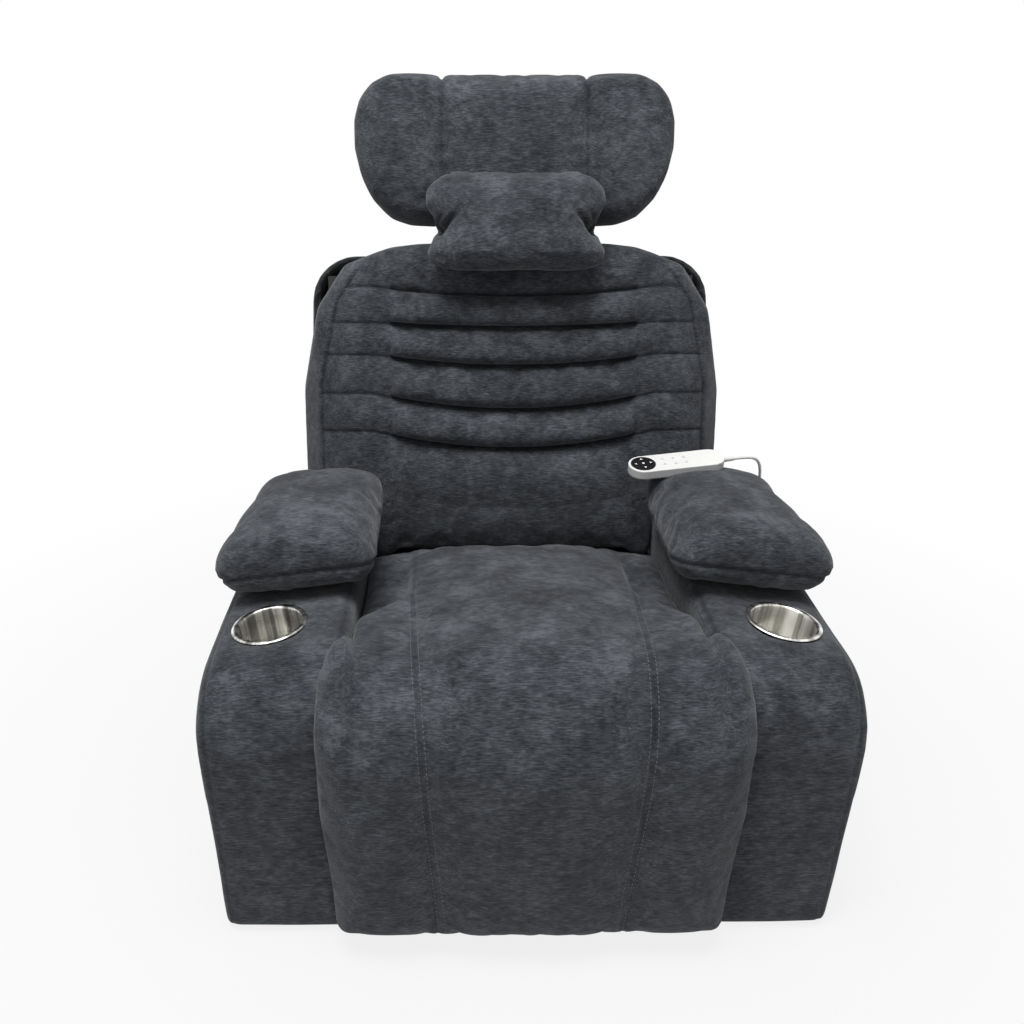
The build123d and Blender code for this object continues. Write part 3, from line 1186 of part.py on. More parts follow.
STRIP_HALF = 80.0
STRIP_LOW = 604.0
STRIP_HEIGHT = 30.0
STRIP_THICKNESS = 1.0
with BuildPart() as pillow_strip:
    with BuildSketch(back_face_plane(PILLOW_BACK + CLEARANCE)):
        with Locations((0, STRIP_LOW + STRIP_HEIGHT / 2)):
            Rectangle(2 * STRIP_HALF, STRIP_HEIGHT)
    extrude(amount=-STRIP_THICKNESS)
save(pillow_strip, "pillow_strip")

# Handset: two shells, dial disc, circuit board and eleven keys, lying on the right arm pad
YAW = radians(HANDSET_YAW)
PITCH = radians(HANDSET_PITCH)
ROLL = radians(HANDSET_ROLL)
HANDSET_ALONG = Vector(cos(PITCH) * cos(YAW), cos(PITCH) * sin(YAW), sin(PITCH))
HANDSET_LEVEL = Vector(0, 0, 1) - HANDSET_ALONG * HANDSET_ALONG.Z
HANDSET_SIDE = HANDSET_ALONG.cross(HANDSET_LEVEL.normalized())
HANDSET_NORMAL = HANDSET_LEVEL.normalized() * cos(ROLL) + HANDSET_SIDE * sin(ROLL)
HANDSET_PLANE = Plane(
    origin=(HANDSET_CENTRE_X, at_depth(HANDSET_DEPTH), HANDSET_UNDERSIDE),
    x_dir=HANDSET_ALONG,
    z_dir=HANDSET_NORMAL,
)
HANDSET_AXIS = Axis(HANDSET_PLANE.origin, HANDSET_PLANE.z_dir)
HANDSET_ROUND = 4.0
SPLIT_HEIGHT = 9.0
HANDSET_TOP_INNER = HANDSET_THICKNESS - HANDSET_WALL
BOARD_TOP = HANDSET_TOP_INNER - CLEARANCE - KEY_FLANGE - KEY_TRAVEL - CLEARANCE
CIRCUIT_THICKNESS = 1.5
CIRCUIT_MARGIN = 3.0
POST_RADIUS = 3.0
FACE_ROUND = 1.5
DIAL_X = HANDSET_WIDTH / 2 - HANDSET_LENGTH / 2
DIAL_SEAT = HANDSET_WALL / 2
DIAL_KEYS = {
    "dial_key_middle": (0, 0),
    "dial_key_up": (0, DIAL_KEY_RING),
    "dial_key_down": (0, -DIAL_KEY_RING),
    "dial_key_left": (-DIAL_KEY_RING, 0),
    "dial_key_right": (DIAL_KEY_RING, 0),
}
SMALL_KEY_START = DIAL_X + DIAL_RADIUS + SMALL_KEY_GAP
SMALL_KEY_ROW = 8.0
SMALL_KEYS = {}
for row in range(2):
    for column in range(3):
        key_x = SMALL_KEY_START + column * SMALL_KEY_PITCH
        SMALL_KEYS[f"small_key_{row * 3 + column + 1}"] = (key_x, SMALL_KEY_ROW * (1 - 2 * row))


def handset_level(height):
    """Plane at a height above the handset's underside."""
    return HANDSET_PLANE.offset(height)


def key_holes():
    """Openings of all keys with their running clearance."""
    for x, y in DIAL_KEYS.values():
        with Locations((DIAL_X + x, y)):
            Circle(DIAL_KEY_RADIUS + CLEARANCE / 2)
    for x, y in SMALL_KEYS.values():
        with Locations((x, y)):
            Circle(SMALL_KEY_RADIUS + CLEARANCE / 2)


with BuildPart() as handset_lower_shell:
    with BuildSketch(handset_level(0)):
        SlotOverall(HANDSET_LENGTH, HANDSET_WIDTH)
    extrude(amount=SPLIT_HEIGHT)
    fillet(handset_lower_shell.faces().sort_by(HANDSET_AXIS)[0].edges(), HANDSET_ROUND)
    with BuildSketch(handset_level(HANDSET_WALL)):
        SlotOverall(HANDSET_LENGTH - 2 * HANDSET_WALL, HANDSET_WIDTH - 2 * HANDSET_WALL)
    extrude(amount=SPLIT_HEIGHT, mode=Mode.SUBTRACT)
    with BuildSketch(handset_level(HANDSET_WALL)):
        with Locations((DIAL_X, 0), (SMALL_KEY_START + SMALL_KEY_PITCH, 0)):
            Circle(POST_RADIUS)
    extrude(amount=BOARD_TOP - CIRCUIT_THICKNESS - HANDSET_WALL)
save(handset_lower_shell, "handset_lower_shell")

with BuildPart() as handset_upper_shell:
    with BuildSketch(handset_level(SPLIT_HEIGHT)):
        SlotOverall(HANDSET_LENGTH, HANDSET_WIDTH)
    extrude(amount=HANDSET_THICKNESS - SPLIT_HEIGHT)
    fillet(handset_upper_shell.faces().sort_by(HANDSET_AXIS)[-1].edges(), FACE_ROUND)
    with BuildSketch(handset_level(SPLIT_HEIGHT)):
        SlotOverall(HANDSET_LENGTH - 2 * HANDSET_WALL, HANDSET_WIDTH - 2 * HANDSET_WALL)
    extrude(amount=HANDSET_TOP_INNER - SPLIT_HEIGHT, mode=Mode.SUBTRACT)
    with BuildSketch(handset_level(HANDSET_THICKNESS)):
        with Locations((DIAL_X, 0)):
            Circle(DIAL_RADIUS + CLEARANCE / 2)
    extrude(amount=-DIAL_SEAT, mode=Mode.SUBTRACT)
    with BuildSketch(handset_level(HANDSET_TOP_INNER)):
        key_holes()
    extrude(amount=HANDSET_WALL, mode=Mode.SUBTRACT)
save(handset_upper_shell, "handset_upper_shell")

with BuildPart() as handset_dial:
    with BuildSketch(handset_level(HANDSET_THICKNESS - DIAL_SEAT)):
        with Locations((DIAL_X, 0)):
            Circle(DIAL_RADIUS)
        for x, y in DIAL_KEYS.values():
            with Locations((DIAL_X + x, y)):
                Circle(DIAL_KEY_RADIUS + CLEARANCE / 2, mode=Mode.SUBTRACT)
    extrude(amount=DIAL_SEAT + DIAL_PROUD)
save(handset_dial, "handset_dial")

with BuildPart() as handset_circuit:
    with BuildSketch(handset_level(BOARD_TOP)):
        margin = 2 * (HANDSET_WALL + CIRCUIT_MARGIN)
        SlotOverall(HANDSET_LENGTH - margin, HANDSET_WIDTH - margin)
    extrude(amount=-CIRCUIT_THICKNESS)
save(handset_circuit, "handset_circuit")


def make_key(name, x, y, radius, top):
    """Key whose stem passes the face and whose flange keeps it in; it is pressed along the face normal."""
    with BuildPart() as key:
        with BuildSketch(handset_level(HANDSET_TOP_INNER - CLEARANCE)):
            with Locations((x, y)):
                Circle(radius + KEY_FLANGE)
        extrude(amount=-KEY_FLANGE)
        with BuildSketch(handset_level(HANDSET_TOP_INNER - CLEARANCE)):
            with Locations((x, y)):
                Circle(radius)
        extrude(amount=top - HANDSET_TOP_INNER + CLEARANCE)
    save(key, name)


for key_name, (key_x, key_y) in DIAL_KEYS.items():
    make_key(key_name, DIAL_X + key_x, key_y, DIAL_KEY_RADIUS, HANDSET_THICKNESS + DIAL_PROUD + KEY_PROUD)
for key_name, (key_x, key_y) in SMALL_KEYS.items():
    make_key(key_name, key_x, key_y, SMALL_KEY_RADIUS, HANDSET_THICKNESS + KEY_PROUD)

# Handset cord: strain relief, a slack lead over the pad and down the arm, and a grommet in the arm's side
RELIEF_RADIUS = 4.5
RELIEF_SLEEVE = 0.8
RELIEF_PLANE = Plane(
    origin=HANDSET_PLANE.from_local_coords(Vector(HANDSET_LENGTH / 2, 0, HANDSET_THICKNESS / 2)),
    x_dir=HANDSET_PLANE.y_dir,
    z_dir=HANDSET_PLANE.x_dir,
)
with BuildPart() as handset_strain_relief:
    with BuildSketch(RELIEF_PLANE):
        Circle(RELIEF_RADIUS)
    with BuildSketch(RELIEF_PLANE.offset(STRAIN_RELIEF_LENGTH)):
        Circle(CORD / 2 + RELIEF_SLEEVE)
    loft()
save(handset_strain_relief, "handset_strain_relief")

RELIEF_END = RELIEF_PLANE.offset(STRAIN_RELIEF_LENGTH).origin
GROMMET_DEPTH = 571.0
GROMMET_Z = 182.0
GROMMET_LEAD = 19.5
GROMMET_LENGTH = 10.0
GROMMET_RADIUS = 8.0
GROMMET_TAPER = 12.0
GROMMET_FACE = arm_side(GROMMET_Z + GROMMET_RADIUS) + CLEARANCE
with BuildPart() as cord_grommet:
    with BuildSketch(side_plane(GROMMET_FACE)):
        with Locations((at_depth(GROMMET_DEPTH), GROMMET_Z)):
            Circle(GROMMET_RADIUS)
    extrude(amount=GROMMET_LENGTH, taper=GROMMET_TAPER)
save(cord_grommet, "cord_grommet")

CORD_ROUTE = (
    (-36.0, 474.0, 542.0),
    (-25.0, 484.0, 529.0),
    (-19.0, 493.0, 511.0),
    (-16.0, 500.0, 489.0),
    (-14.0, 504.0, 465.0),
    (-10.0, 507.0, 442.0),
    (-1.0, 509.0, 422.0),
    (12.0, 510.0, 404.0),
    (22.5, 511.0, 381.0),
    (27.0, 512.0, 352.0),
    (28.0, 512.0, 315.0),
    (28.5, 511.5, 270.0),
    (28.0, 511.0, 228.0),
    (29.0, 510.0, 190.0),
    (31.0, 511.0, 162.0),
    (34.0, 516.0, 140.0),
    (38.0, 527.0, 126.0),
    (43.0, 542.0, 120.0),
    (48.0, 557.0, 124.0),
    (52.0, 568.0, 136.0),
    (54.0, 571.5, 150.0),
    (54.0, 571.7, 163.5),
    (47.5, 571.4, 175.5),
)
CORD_LEAD = 22.0
relief_lead = RELIEF_END + HANDSET_ALONG * CORD_LEAD
grommet_mouth = Vector(GROMMET_FACE + GROMMET_LENGTH, at_depth(GROMMET_DEPTH), GROMMET_Z)
grommet_lead = grommet_mouth + Vector(GROMMET_LEAD, 0, 0)
cord_points = [RELIEF_END, relief_lead]
cord_points += [Vector(OUTER_X + out, at_depth(depth), z) for out, depth, z in CORD_ROUTE]
cord_points += [grommet_lead, grommet_mouth]


def bend_radii(points):
    """Largest even arc at each inner point: 0.45 of the shorter run over the tangent of half the turn."""
    radii = []
    for before, point, after in zip(points, points[1:], points[2:]):
        turn = radians((point - before).get_angle(after - point))
        radii.append(0.45 * min((point - before).length, (after - point).length) / tan(turn / 2))
    return radii


cord_radii = bend_radii(cord_points)
with BuildPart() as handset_cord:
    with BuildLine() as cord_path:
        FilletPolyline(cord_points, radius=cord_radii)
    with BuildSketch(Plane(origin=cord_path.line @ 0, z_dir=cord_path.line % 0)):
        Circle(CORD / 2)
    sweep(path=cord_path.line)
save(handset_cord, "handset_cord")
cord_length = sum(edge.length for edge in cord_path.edges())
print("cord bend radii", [round(radius) for radius in cord_radii])
print("cord length", round(cord_length), "volume ratio",
      round(handset_cord.part.volume / (pi * CORD**2 / 4 * cord_length), 4))
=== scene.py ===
import math

import bmesh
import bpy
import numpy as np
from mathutils import Matrix, Vector, noise
from mathutils.bvhtree import BVHTree


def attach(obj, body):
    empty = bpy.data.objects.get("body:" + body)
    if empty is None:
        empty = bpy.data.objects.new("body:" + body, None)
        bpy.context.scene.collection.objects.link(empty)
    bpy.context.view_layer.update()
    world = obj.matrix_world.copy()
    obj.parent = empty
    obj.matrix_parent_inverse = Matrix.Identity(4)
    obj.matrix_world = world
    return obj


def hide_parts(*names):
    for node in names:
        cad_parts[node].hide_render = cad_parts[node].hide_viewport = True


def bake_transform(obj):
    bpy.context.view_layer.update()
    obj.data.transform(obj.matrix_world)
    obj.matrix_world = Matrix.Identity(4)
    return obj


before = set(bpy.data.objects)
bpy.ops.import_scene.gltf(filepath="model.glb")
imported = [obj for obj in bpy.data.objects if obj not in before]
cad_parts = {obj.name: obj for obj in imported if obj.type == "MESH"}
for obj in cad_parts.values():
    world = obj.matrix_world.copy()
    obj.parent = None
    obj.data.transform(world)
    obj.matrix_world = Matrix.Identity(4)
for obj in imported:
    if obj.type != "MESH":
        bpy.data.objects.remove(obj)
scene = bpy.context.scene
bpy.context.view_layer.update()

# Places in the chair's frame, in metres: the sitter faces -Y
ARM_FRONT = -0.383
ARM_INNER = 0.245
ARM_OUTER = 0.432
ARM_FLARE = 0.012
ARM_TOP, ARM_TOP_DROP, ARM_TOP_WIDTH = 0.432, 0.023, 0.187
CUP_OUT, CUP_BEHIND = 0.362, 0.157
PAD_BEHIND, PAD_NOSE = 0.207, 0.06
PAD_RING, PAD_NOSE_LIFT = 0.032, 0.018
HINGE = Vector((0.0, ARM_FRONT + 0.055, 0.315))
BEND_RADIUS = 0.115
BACK_PIVOT = Vector((0.0, ARM_FRONT + 0.530, 0.330))
LEAN = math.radians(14)
BACK_UP = np.array((0.0, math.sin(LEAN), math.cos(LEAN)))
BACK_OUT = np.array((0.0, math.cos(LEAN), -math.sin(LEAN)))
HEAD_SEAM, HEAD_SEAM_END = 0.119, 0.045
CHANNELS = ((0.459, 0.014), (0.405, 0.009), (0.341, 0.020), (0.268, 0.028), (0.202, 0.030))
CHANNEL_SPREAD = 0.238
PUFFED_HALF = 0.205
RIB_STRAIGHT = 0.182
RIB_OUT, RIB_SAG, RIB_FULLEST = 0.011, 0.0045, 0.3
LUMBAR_OUT, LUMBAR_RISE = 0.006, 0.05


# Camera
CAMERA_DOWN, CAMERA_TURN = 24.3, -0.6
camera_data = bpy.data.cameras.new("camera")
camera_data.sensor_width = 36.0
camera_data.lens = 35.16
camera = bpy.data.objects.new("camera", camera_data)
camera_data.shift_x = 0.0508
camera.location = (-0.1075, ARM_FRONT - 1.061, 1.140)
camera.rotation_euler = (math.radians(90 - CAMERA_DOWN), 0.0, math.radians(CAMERA_TURN))
scene.collection.objects.link(camera)
scene.camera = camera
scene.view_settings.view_transform = "Standard"


# Small helpers
WELD = 0.00002
TINY = 1e-9
FILLING_STEPS = 16
SEED_STEPS = (3.1, 1.7, 2.3)


def smooth_between(low, high, value):
    """Soft step from 0 at low to 1 at high."""
    t = np.clip((value - low) / (high - low), 0.0, 1.0)
    return t * t * (3 - 2 * t)


def points_of(mesh):
    """Vertex places of a mesh as an array."""
    places = np.zeros(len(mesh.vertices) * 3)
    mesh.vertices.foreach_get("co", places)
    return places.reshape(-1, 3)


def normals_of(mesh):
    """Vertex normals of a mesh as an array."""
    normals = np.zeros(len(mesh.vertices) * 3)
    mesh.vertex_normals.foreach_get("vector", normals)
    return normals.reshape(-1, 3)


def put_points(mesh, places):
    """Move a mesh's vertices to these places."""
    mesh.vertices.foreach_set("co", places.ravel())
    mesh.update()


def ripple(places, size, seed):
    """Smooth noise from -1 to 1 at each place, with lumps of about this size."""
    offset = Vector([seed * step for step in SEED_STEPS])
    return np.array([noise.noise(Vector(place) / size + offset) for place in places])


def dent(piece, *waves):
    """Make a cover uneven with waves of noise, each with its size, height and seed."""
    places = points_of(piece.data)
    height = sum(ripple(places, size, seed) * rise for size, rise, seed in waves)
    put_points(piece.data, places + normals_of(piece.data) * height[:, None])


def new_piece(name, mesh):
    """Object at the origin that carries this mesh."""
    piece = bpy.data.objects.new(name, mesh)
    scene.collection.objects.link(piece)
    return piece


def settled(rough, name):
    """Plain mesh piece made from an object with its modifiers, which is then removed."""
    depsgraph = bpy.context.evaluated_depsgraph_get()
    mesh = bpy.data.meshes.new_from_object(rough.evaluated_get(depsgraph))
    old = rough.data
    bpy.data.objects.remove(rough)
    if old.users == 0 and isinstance(old, bpy.types.Mesh):
        bpy.data.meshes.remove(old)
    mesh.name = name
    return new_piece(name, mesh)


def soft_shape(name, nodes, voxel, relax):
    """Closed even mesh with the outline of these solids, its edges relaxed."""
    shape = bmesh.new()
    for node in nodes:
        shape.from_mesh(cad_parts[node].data)
    bmesh.ops.remove_doubles(shape, verts=shape.verts, dist=WELD)
    mesh = bpy.data.meshes.new(name + "_rough")
    shape.to_mesh(mesh)
    shape.free()
    mesh.materials.clear()
    rough = new_piece(name + "_rough", mesh)
    even = rough.modifiers.new("Even", "REMESH")
    even.mode = "VOXEL"
    even.voxel_size = voxel
    ease = rough.modifiers.new("Ease", "SMOOTH")
    ease.factor = 0.5
    ease.iterations = relax
    return settled(rough, name)


def stuffed(piece, sewn, pressure, spare, cap):
    """Fill a cover with a cloth simulation: sewn points stay, and no point moves further than cap."""
    mesh = piece.data
    before = points_of(mesh)
    group = piece.vertex_groups.new(name="sewn")
    group.add([int(i) for i in np.nonzero(sewn)[0]], 1.0, "REPLACE")
    filling = piece.modifiers.new("Filling", "CLOTH")
    cloth = filling.settings
    cloth.quality = 4
    cloth.mass = 0.25
    cloth.tension_stiffness = 12
    cloth.compression_stiffness = 12
    cloth.shear_stiffness = 4
    cloth.bending_stiffness = 0.35
    cloth.air_damping = 2.5
    cloth.use_pressure = True
    cloth.uniform_pressure_force = pressure
    cloth.shrink_min = -spare
    cloth.effector_weights.gravity = 0.0
    cloth.vertex_group_mass = "sewn"
    filling.collision_settings.use_collision = False
    filling.point_cache.frame_start = 1
    filling.point_cache.frame_end = FILLING_STEPS
    for step in range(1, FILLING_STEPS + 1):
        scene.frame_set(step)
    depsgraph = bpy.context.evaluated_depsgraph_get()
    filled = piece.evaluated_get(depsgraph).to_mesh()
    move = points_of(filled) - before
    piece.evaluated_get(depsgraph).to_mesh_clear()
    piece.modifiers.remove(filling)
    piece.vertex_groups.remove(group)
    scene.frame_set(1)
    reach = np.linalg.norm(move, axis=1, keepdims=True)
    move *= cap * np.tanh(reach / cap) / np.maximum(reach, TINY)
    put_points(mesh, before + move)


def refined(piece):
    """The same piece with every face divided once."""
    name = piece.name
    piece.name = name + "_coarse"
    divide = piece.modifiers.new("Divide", "SUBSURF")
    divide.levels = 1
    divide.render_levels = 1
    return settled(piece, name)


def sew_in(piece, distance, depth, width, facing, dark=1.0):
    """Draw a cover in along a seam, by each point's distance from it and where it faces, and paint shade
    into the groove, as much as dark says.
    """
    mesh = piece.data
    near = np.exp(-((distance / width) ** 2)) * facing
    put_points(mesh, points_of(mesh) - normals_of(mesh) * (depth * near)[:, None])
    # Painted shade: this store darkens the cover's colour along the groove, in the chenille finish.
    shade = mesh.attributes.get("crease_shade") or mesh.attributes.new("crease_shade", "FLOAT", "POINT")
    values = np.zeros(len(mesh.vertices))
    shade.data.foreach_get("value", values)
    shade.data.foreach_set("value", np.maximum(values, near * dark))


def dress(piece, material, body=None, replaced=()):
    """Give a piece its finish, its body and the solids it stands for."""
    piece.data.materials.clear()
    piece.data.materials.append(material)
    piece.data.shade_smooth()
    if replaced:
        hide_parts(*replaced)
    if body:
        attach(piece, body)


def in_back(places):
    """Places as x, depth and height along the leaning back."""
    offset = places - np.array(BACK_PIVOT)
    return offset[:, 0], offset @ BACK_OUT, offset @ BACK_UP


# Finishes
class Finish:
    """Node tree of one finish, with short calls to add and join nodes."""

    def __init__(self, name):
        self.material = bpy.data.materials.new(name)
        self.material.use_nodes = True
        self.tree = self.material.node_tree
        self.shader = self.tree.nodes["Principled BSDF"]
        self.place = self.add("ShaderNodeTexCoord").outputs["Object"]

    def add(self, kind, **values):
        node = self.tree.nodes.new(kind)
        for name, value in values.items():
            setattr(node, name, value)
        return node

    def join(self, source, target):
        self.tree.links.new(source, target)

    def stretch(self, scale):
        node = self.add("ShaderNodeMapping")
        node.inputs["Scale"].default_value = scale
        self.join(self.place, node.inputs["Vector"])
        return node.outputs["Vector"]

    def grain(self, place, scale, detail=2.0, rough=0.5):
        node = self.add("ShaderNodeTexNoise")
        node.inputs["Scale"].default_value = scale
        node.inputs["Detail"].default_value = detail
        node.inputs["Roughness"].default_value = rough
        self.join(place, node.inputs["Vector"])
        return node.outputs["Fac"]

    def math(self, operation, left, right):
        node = self.add("ShaderNodeMath", operation=operation)
        for socket, value in zip(node.inputs, (left, right)):
            if isinstance(value, (int, float)):
                socket.default_value = value
            else:
                self.join(value, socket)
        return node.outputs[0]

    def ramp(self, factor, *stops):
        node = self.add("ShaderNodeValToRGB")
        elements = node.color_ramp.elements
        while len(elements) < len(stops):
            elements.new(0.5)
        for element, (position, colour) in zip(elements, stops):
            element.position = position
            element.color = (*colour, 1.0)
        self.join(factor, node.inputs["Fac"])
        return node.outputs["Color"]

    def bump(self, height, strength, distance):
        node = self.add("ShaderNodeBump")
        node.inputs["Strength"].default_value = strength
        node.inputs["Distance"].default_value = distance
        self.join(height, node.inputs["Height"])
        self.join(node.outputs["Normal"], self.shader.inputs["Normal"])

    def set(self, **values):
        for name, value in values.items():
            self.shader.inputs[name.replace("_", " ")].default_value = value


# Chenille: shares of its grains in tone and height, and of painted shade in seams and folds. The nap's
# patches are random tone, and how strongly they show by the way they face is painted sheen, stronger on
# upward faces.
SIDEWAYS = 0.75
NAP_SHEEN_LEAST, NAP_SHEEN_GAIN = 0.45, 0.75
MOTTLE_SHARE, SLUB_SHARE, CREASE_SHADE_SHARE, TONE_SHIFT = 0.74, 1.35, 0.45, 0.495
SLUB_HEIGHT, PILE_HEIGHT, MOTTLE_HEIGHT = 0.8, 0.5, 0.5


def chenille(name, dark, middle, light):
    """Charcoal chenille: brushed nap in patches, made stronger on upward faces as painted sheen, short
    slubs along the weft, a fine pile and painted shade in seams and folds.
    """
    finish = Finish(name)
    patches = finish.grain(finish.stretch((16.0, 14.0, 12.0)), 1.0, detail=3.0, rough=0.6)
    mottle = finish.grain(finish.stretch((58.0, 80.0, 80.0)), 1.0, detail=3.0, rough=0.62)
    weft = finish.grain(finish.stretch((90.0, 560.0, 560.0)), 1.0, detail=3.0, rough=0.65)
    side_weft = finish.grain(finish.stretch((560.0, 90.0, 560.0)), 1.0, detail=3.0, rough=0.65)
    geometry = finish.add("ShaderNodeNewGeometry")
    split = finish.add("ShaderNodeSeparateXYZ")
    finish.join(geometry.outputs["Normal"], split.inputs[0])
    sideways = finish.math("ABSOLUTE", split.outputs["X"], 0.0)
    sideways = finish.math("GREATER_THAN", sideways, SIDEWAYS)
    slub = finish.add("ShaderNodeMix", data_type="FLOAT")
    finish.join(sideways, slub.inputs[0])
    finish.join(weft, slub.inputs[2])
    finish.join(side_weft, slub.inputs[3])
    slub = slub.outputs[0]
    # Painted sheen: the patches' contrast grows on upward faces. The patches themselves are random tone.
    upward = finish.math("MAXIMUM", split.outputs["Z"], 0.0)
    nap = finish.math("ADD", NAP_SHEEN_LEAST, finish.math("MULTIPLY", upward, NAP_SHEEN_GAIN))
    tone = finish.math("MULTIPLY", finish.math("SUBTRACT", patches, 0.5), nap)
    tone = finish.math("ADD", tone, finish.math("MULTIPLY", mottle, MOTTLE_SHARE))
    tone = finish.math("ADD", tone, finish.math("MULTIPLY", slub, SLUB_SHARE))
    tone = finish.math("SUBTRACT", tone, TONE_SHIFT)
    # Painted shade: seams and folds are darkened by the shade that sew_in stores on the cover.
    crease_shade = finish.add("ShaderNodeAttribute", attribute_name="crease_shade").outputs["Fac"]
    tone = finish.math("SUBTRACT", tone, finish.math("MULTIPLY", crease_shade, CREASE_SHADE_SHARE))
    colour = finish.ramp(tone, (0.22, dark), (0.55, middle), (0.92, light))
    finish.join(colour, finish.shader.inputs["Base Color"])
    pile = finish.grain(finish.place, 1700.0)
    slub_height = finish.math("MULTIPLY", slub, SLUB_HEIGHT)
    height = finish.math("ADD", slub_height, finish.math("MULTIPLY", pile, PILE_HEIGHT))
    height = finish.math("ADD", height, finish.math("MULTIPLY", mottle, MOTTLE_HEIGHT))
    finish.bump(height, strength=0.55, distance=0.0012)
    finish.set(Roughness=0.94, Sheen_Weight=0.22, Sheen_Roughness=0.45, Specular_IOR_Level=0.25)
    return finish.material


upholstery = chenille(
    "charcoal_chenille",
    dark=(0.016, 0.018, 0.022),
    middle=(0.048, 0.053, 0.062),
    light=(0.118, 0.127, 0.143),
)
outer_cover = chenille(
    "outer_back_cover",
    dark=(0.009, 0.010, 0.012),
    middle=(0.022, 0.024, 0.028),
    light=(0.05, 0.053, 0.06),
)

thread = Finish("seam_thread")
twist = thread.grain(thread.place, 900.0)
twist_colour = thread.ramp(twist, (0.3, (0.09, 0.095, 0.105)), (0.7, (0.2, 0.21, 0.23)))
thread.join(twist_colour, thread.shader.inputs["Base Color"])
thread.bump(thread.grain(thread.place, 3000.0), strength=0.4, distance=0.0003)
thread.set(Roughness=0.8)

# Spun steel: fine rings, and painted reflections as bright and dark bands that run out from the middle
RING_SHARE, REFLECTION_BAND_SHARE = 0.12, 0.88
spun_steel = Finish("spun_cup_steel")
rings = spun_steel.grain(spun_steel.stretch((60.0, 60.0, 2600.0)), 1.0)
around = spun_steel.add("ShaderNodeAttribute", attribute_name="around").outputs["Vector"]
painted_reflection_bands = spun_steel.grain(around, 3.4, rough=0.55)
ring_tone = spun_steel.math("MULTIPLY", rings, RING_SHARE)
steel_tone = spun_steel.math("ADD", ring_tone, spun_steel.math("MULTIPLY", painted_reflection_bands, REFLECTION_BAND_SHARE))
# Painted reflection: the bands give the steel's colour its bright and dark streaks.
steel_colour = spun_steel.ramp(
    steel_tone,
    (0.38, (0.20, 0.195, 0.18)),
    (0.48, (0.55, 0.54, 0.50)),
    (0.58, (0.94, 0.93, 0.90)),
)
spun_steel.join(steel_colour, spun_steel.shader.inputs["Base Color"])
steel_gloss = spun_steel.ramp(painted_reflection_bands, (0.3, (0.22, 0.22, 0.22)), (0.7, (0.32, 0.32, 0.32)))
spun_steel.join(steel_gloss, spun_steel.shader.inputs["Roughness"])
spun_steel.bump(rings, strength=0.5, distance=0.0004)
spun_steel.set(Metallic=1.0)


GLOSS_SPREAD = 0.15
FINE_GRAIN = 14


def plain_finish(name, dark, light, roughness, scale, metallic=0.0):
    """Finish with slightly uneven colour, uneven gloss and a fine surface grain."""
    finish = Finish(name)
    cloud = finish.grain(finish.place, scale, detail=4.0, rough=0.6)
    finish.join(finish.ramp(cloud, (0.3, dark), (0.7, light)), finish.shader.inputs["Base Color"])
    smoother = (roughness * (1 - GLOSS_SPREAD),) * 3
    rougher = (min(1.0, roughness * (1 + GLOSS_SPREAD)),) * 3
    gloss = finish.ramp(cloud, (0.3, smoother), (0.7, rougher))
    finish.join(gloss, finish.shader.inputs["Roughness"])
    finish.bump(finish.grain(finish.place, scale * FINE_GRAIN), strength=0.25, distance=0.0003)
    finish.set(Metallic=metallic)
    return finish.material


handset_white = plain_finish("handset_white", (0.82, 0.82, 0.80), (0.86, 0.86, 0.84), 0.34, 60.0)
dial_black = plain_finish("dial_black", (0.008, 0.008, 0.009), (0.014, 0.014, 0.016), 0.22, 80.0)
key_face = plain_finish("key_face", (0.78, 0.78, 0.77), (0.82, 0.82, 0.81), 0.4, 90.0)
symbol_white = plain_finish("symbol_white", (0.78, 0.78, 0.77), (0.85, 0.85, 0.84), 0.5, 200.0)
symbol_grey = plain_finish("symbol_grey", (0.2, 0.21, 0.22), (0.26, 0.27, 0.28), 0.5, 200.0)
lead_white = plain_finish("lead_white", (0.78, 0.78, 0.76), (0.83, 0.83, 0.81), 0.45, 150.0)
black_paint = plain_finish("black_paint", (0.014, 0.014, 0.015), (0.024, 0.024, 0.026), 0.42, 70.0, 0.2)
bright_rod = plain_finish("bright_rod", (0.52, 0.52, 0.52), (0.62, 0.62, 0.62), 0.2, 120.0, 1.0)
cast_housing = plain_finish("cast_housing", (0.022, 0.022, 0.024), (0.034, 0.034, 0.037), 0.55, 90.0, 0.4)
black_plastic = plain_finish("black_plastic", (0.014, 0.014, 0.015), (0.022, 0.022, 0.023), 0.6, 160.0)
circuit_green = plain_finish("circuit_green", (0.02, 0.12, 0.045), (0.035, 0.17, 0.07), 0.4, 220.0)
woven_tape = plain_finish("woven_tape", (0.03, 0.03, 0.032), (0.06, 0.06, 0.063), 0.9, 300.0)

plywood = Finish("plywood")
wood_grain = plywood.grain(plywood.stretch((6.0, 60.0, 60.0)), 1.0, detail=5.0, rough=0.6)
wood_colour = plywood.ramp(wood_grain, (0.3, (0.36, 0.24, 0.13)), (0.7, (0.55, 0.41, 0.25)))
plywood.join(wood_colour, plywood.shader.inputs["Base Color"])
plywood.bump(wood_grain, strength=0.2, distance=0.0005)
plywood.set(Roughness=0.7)

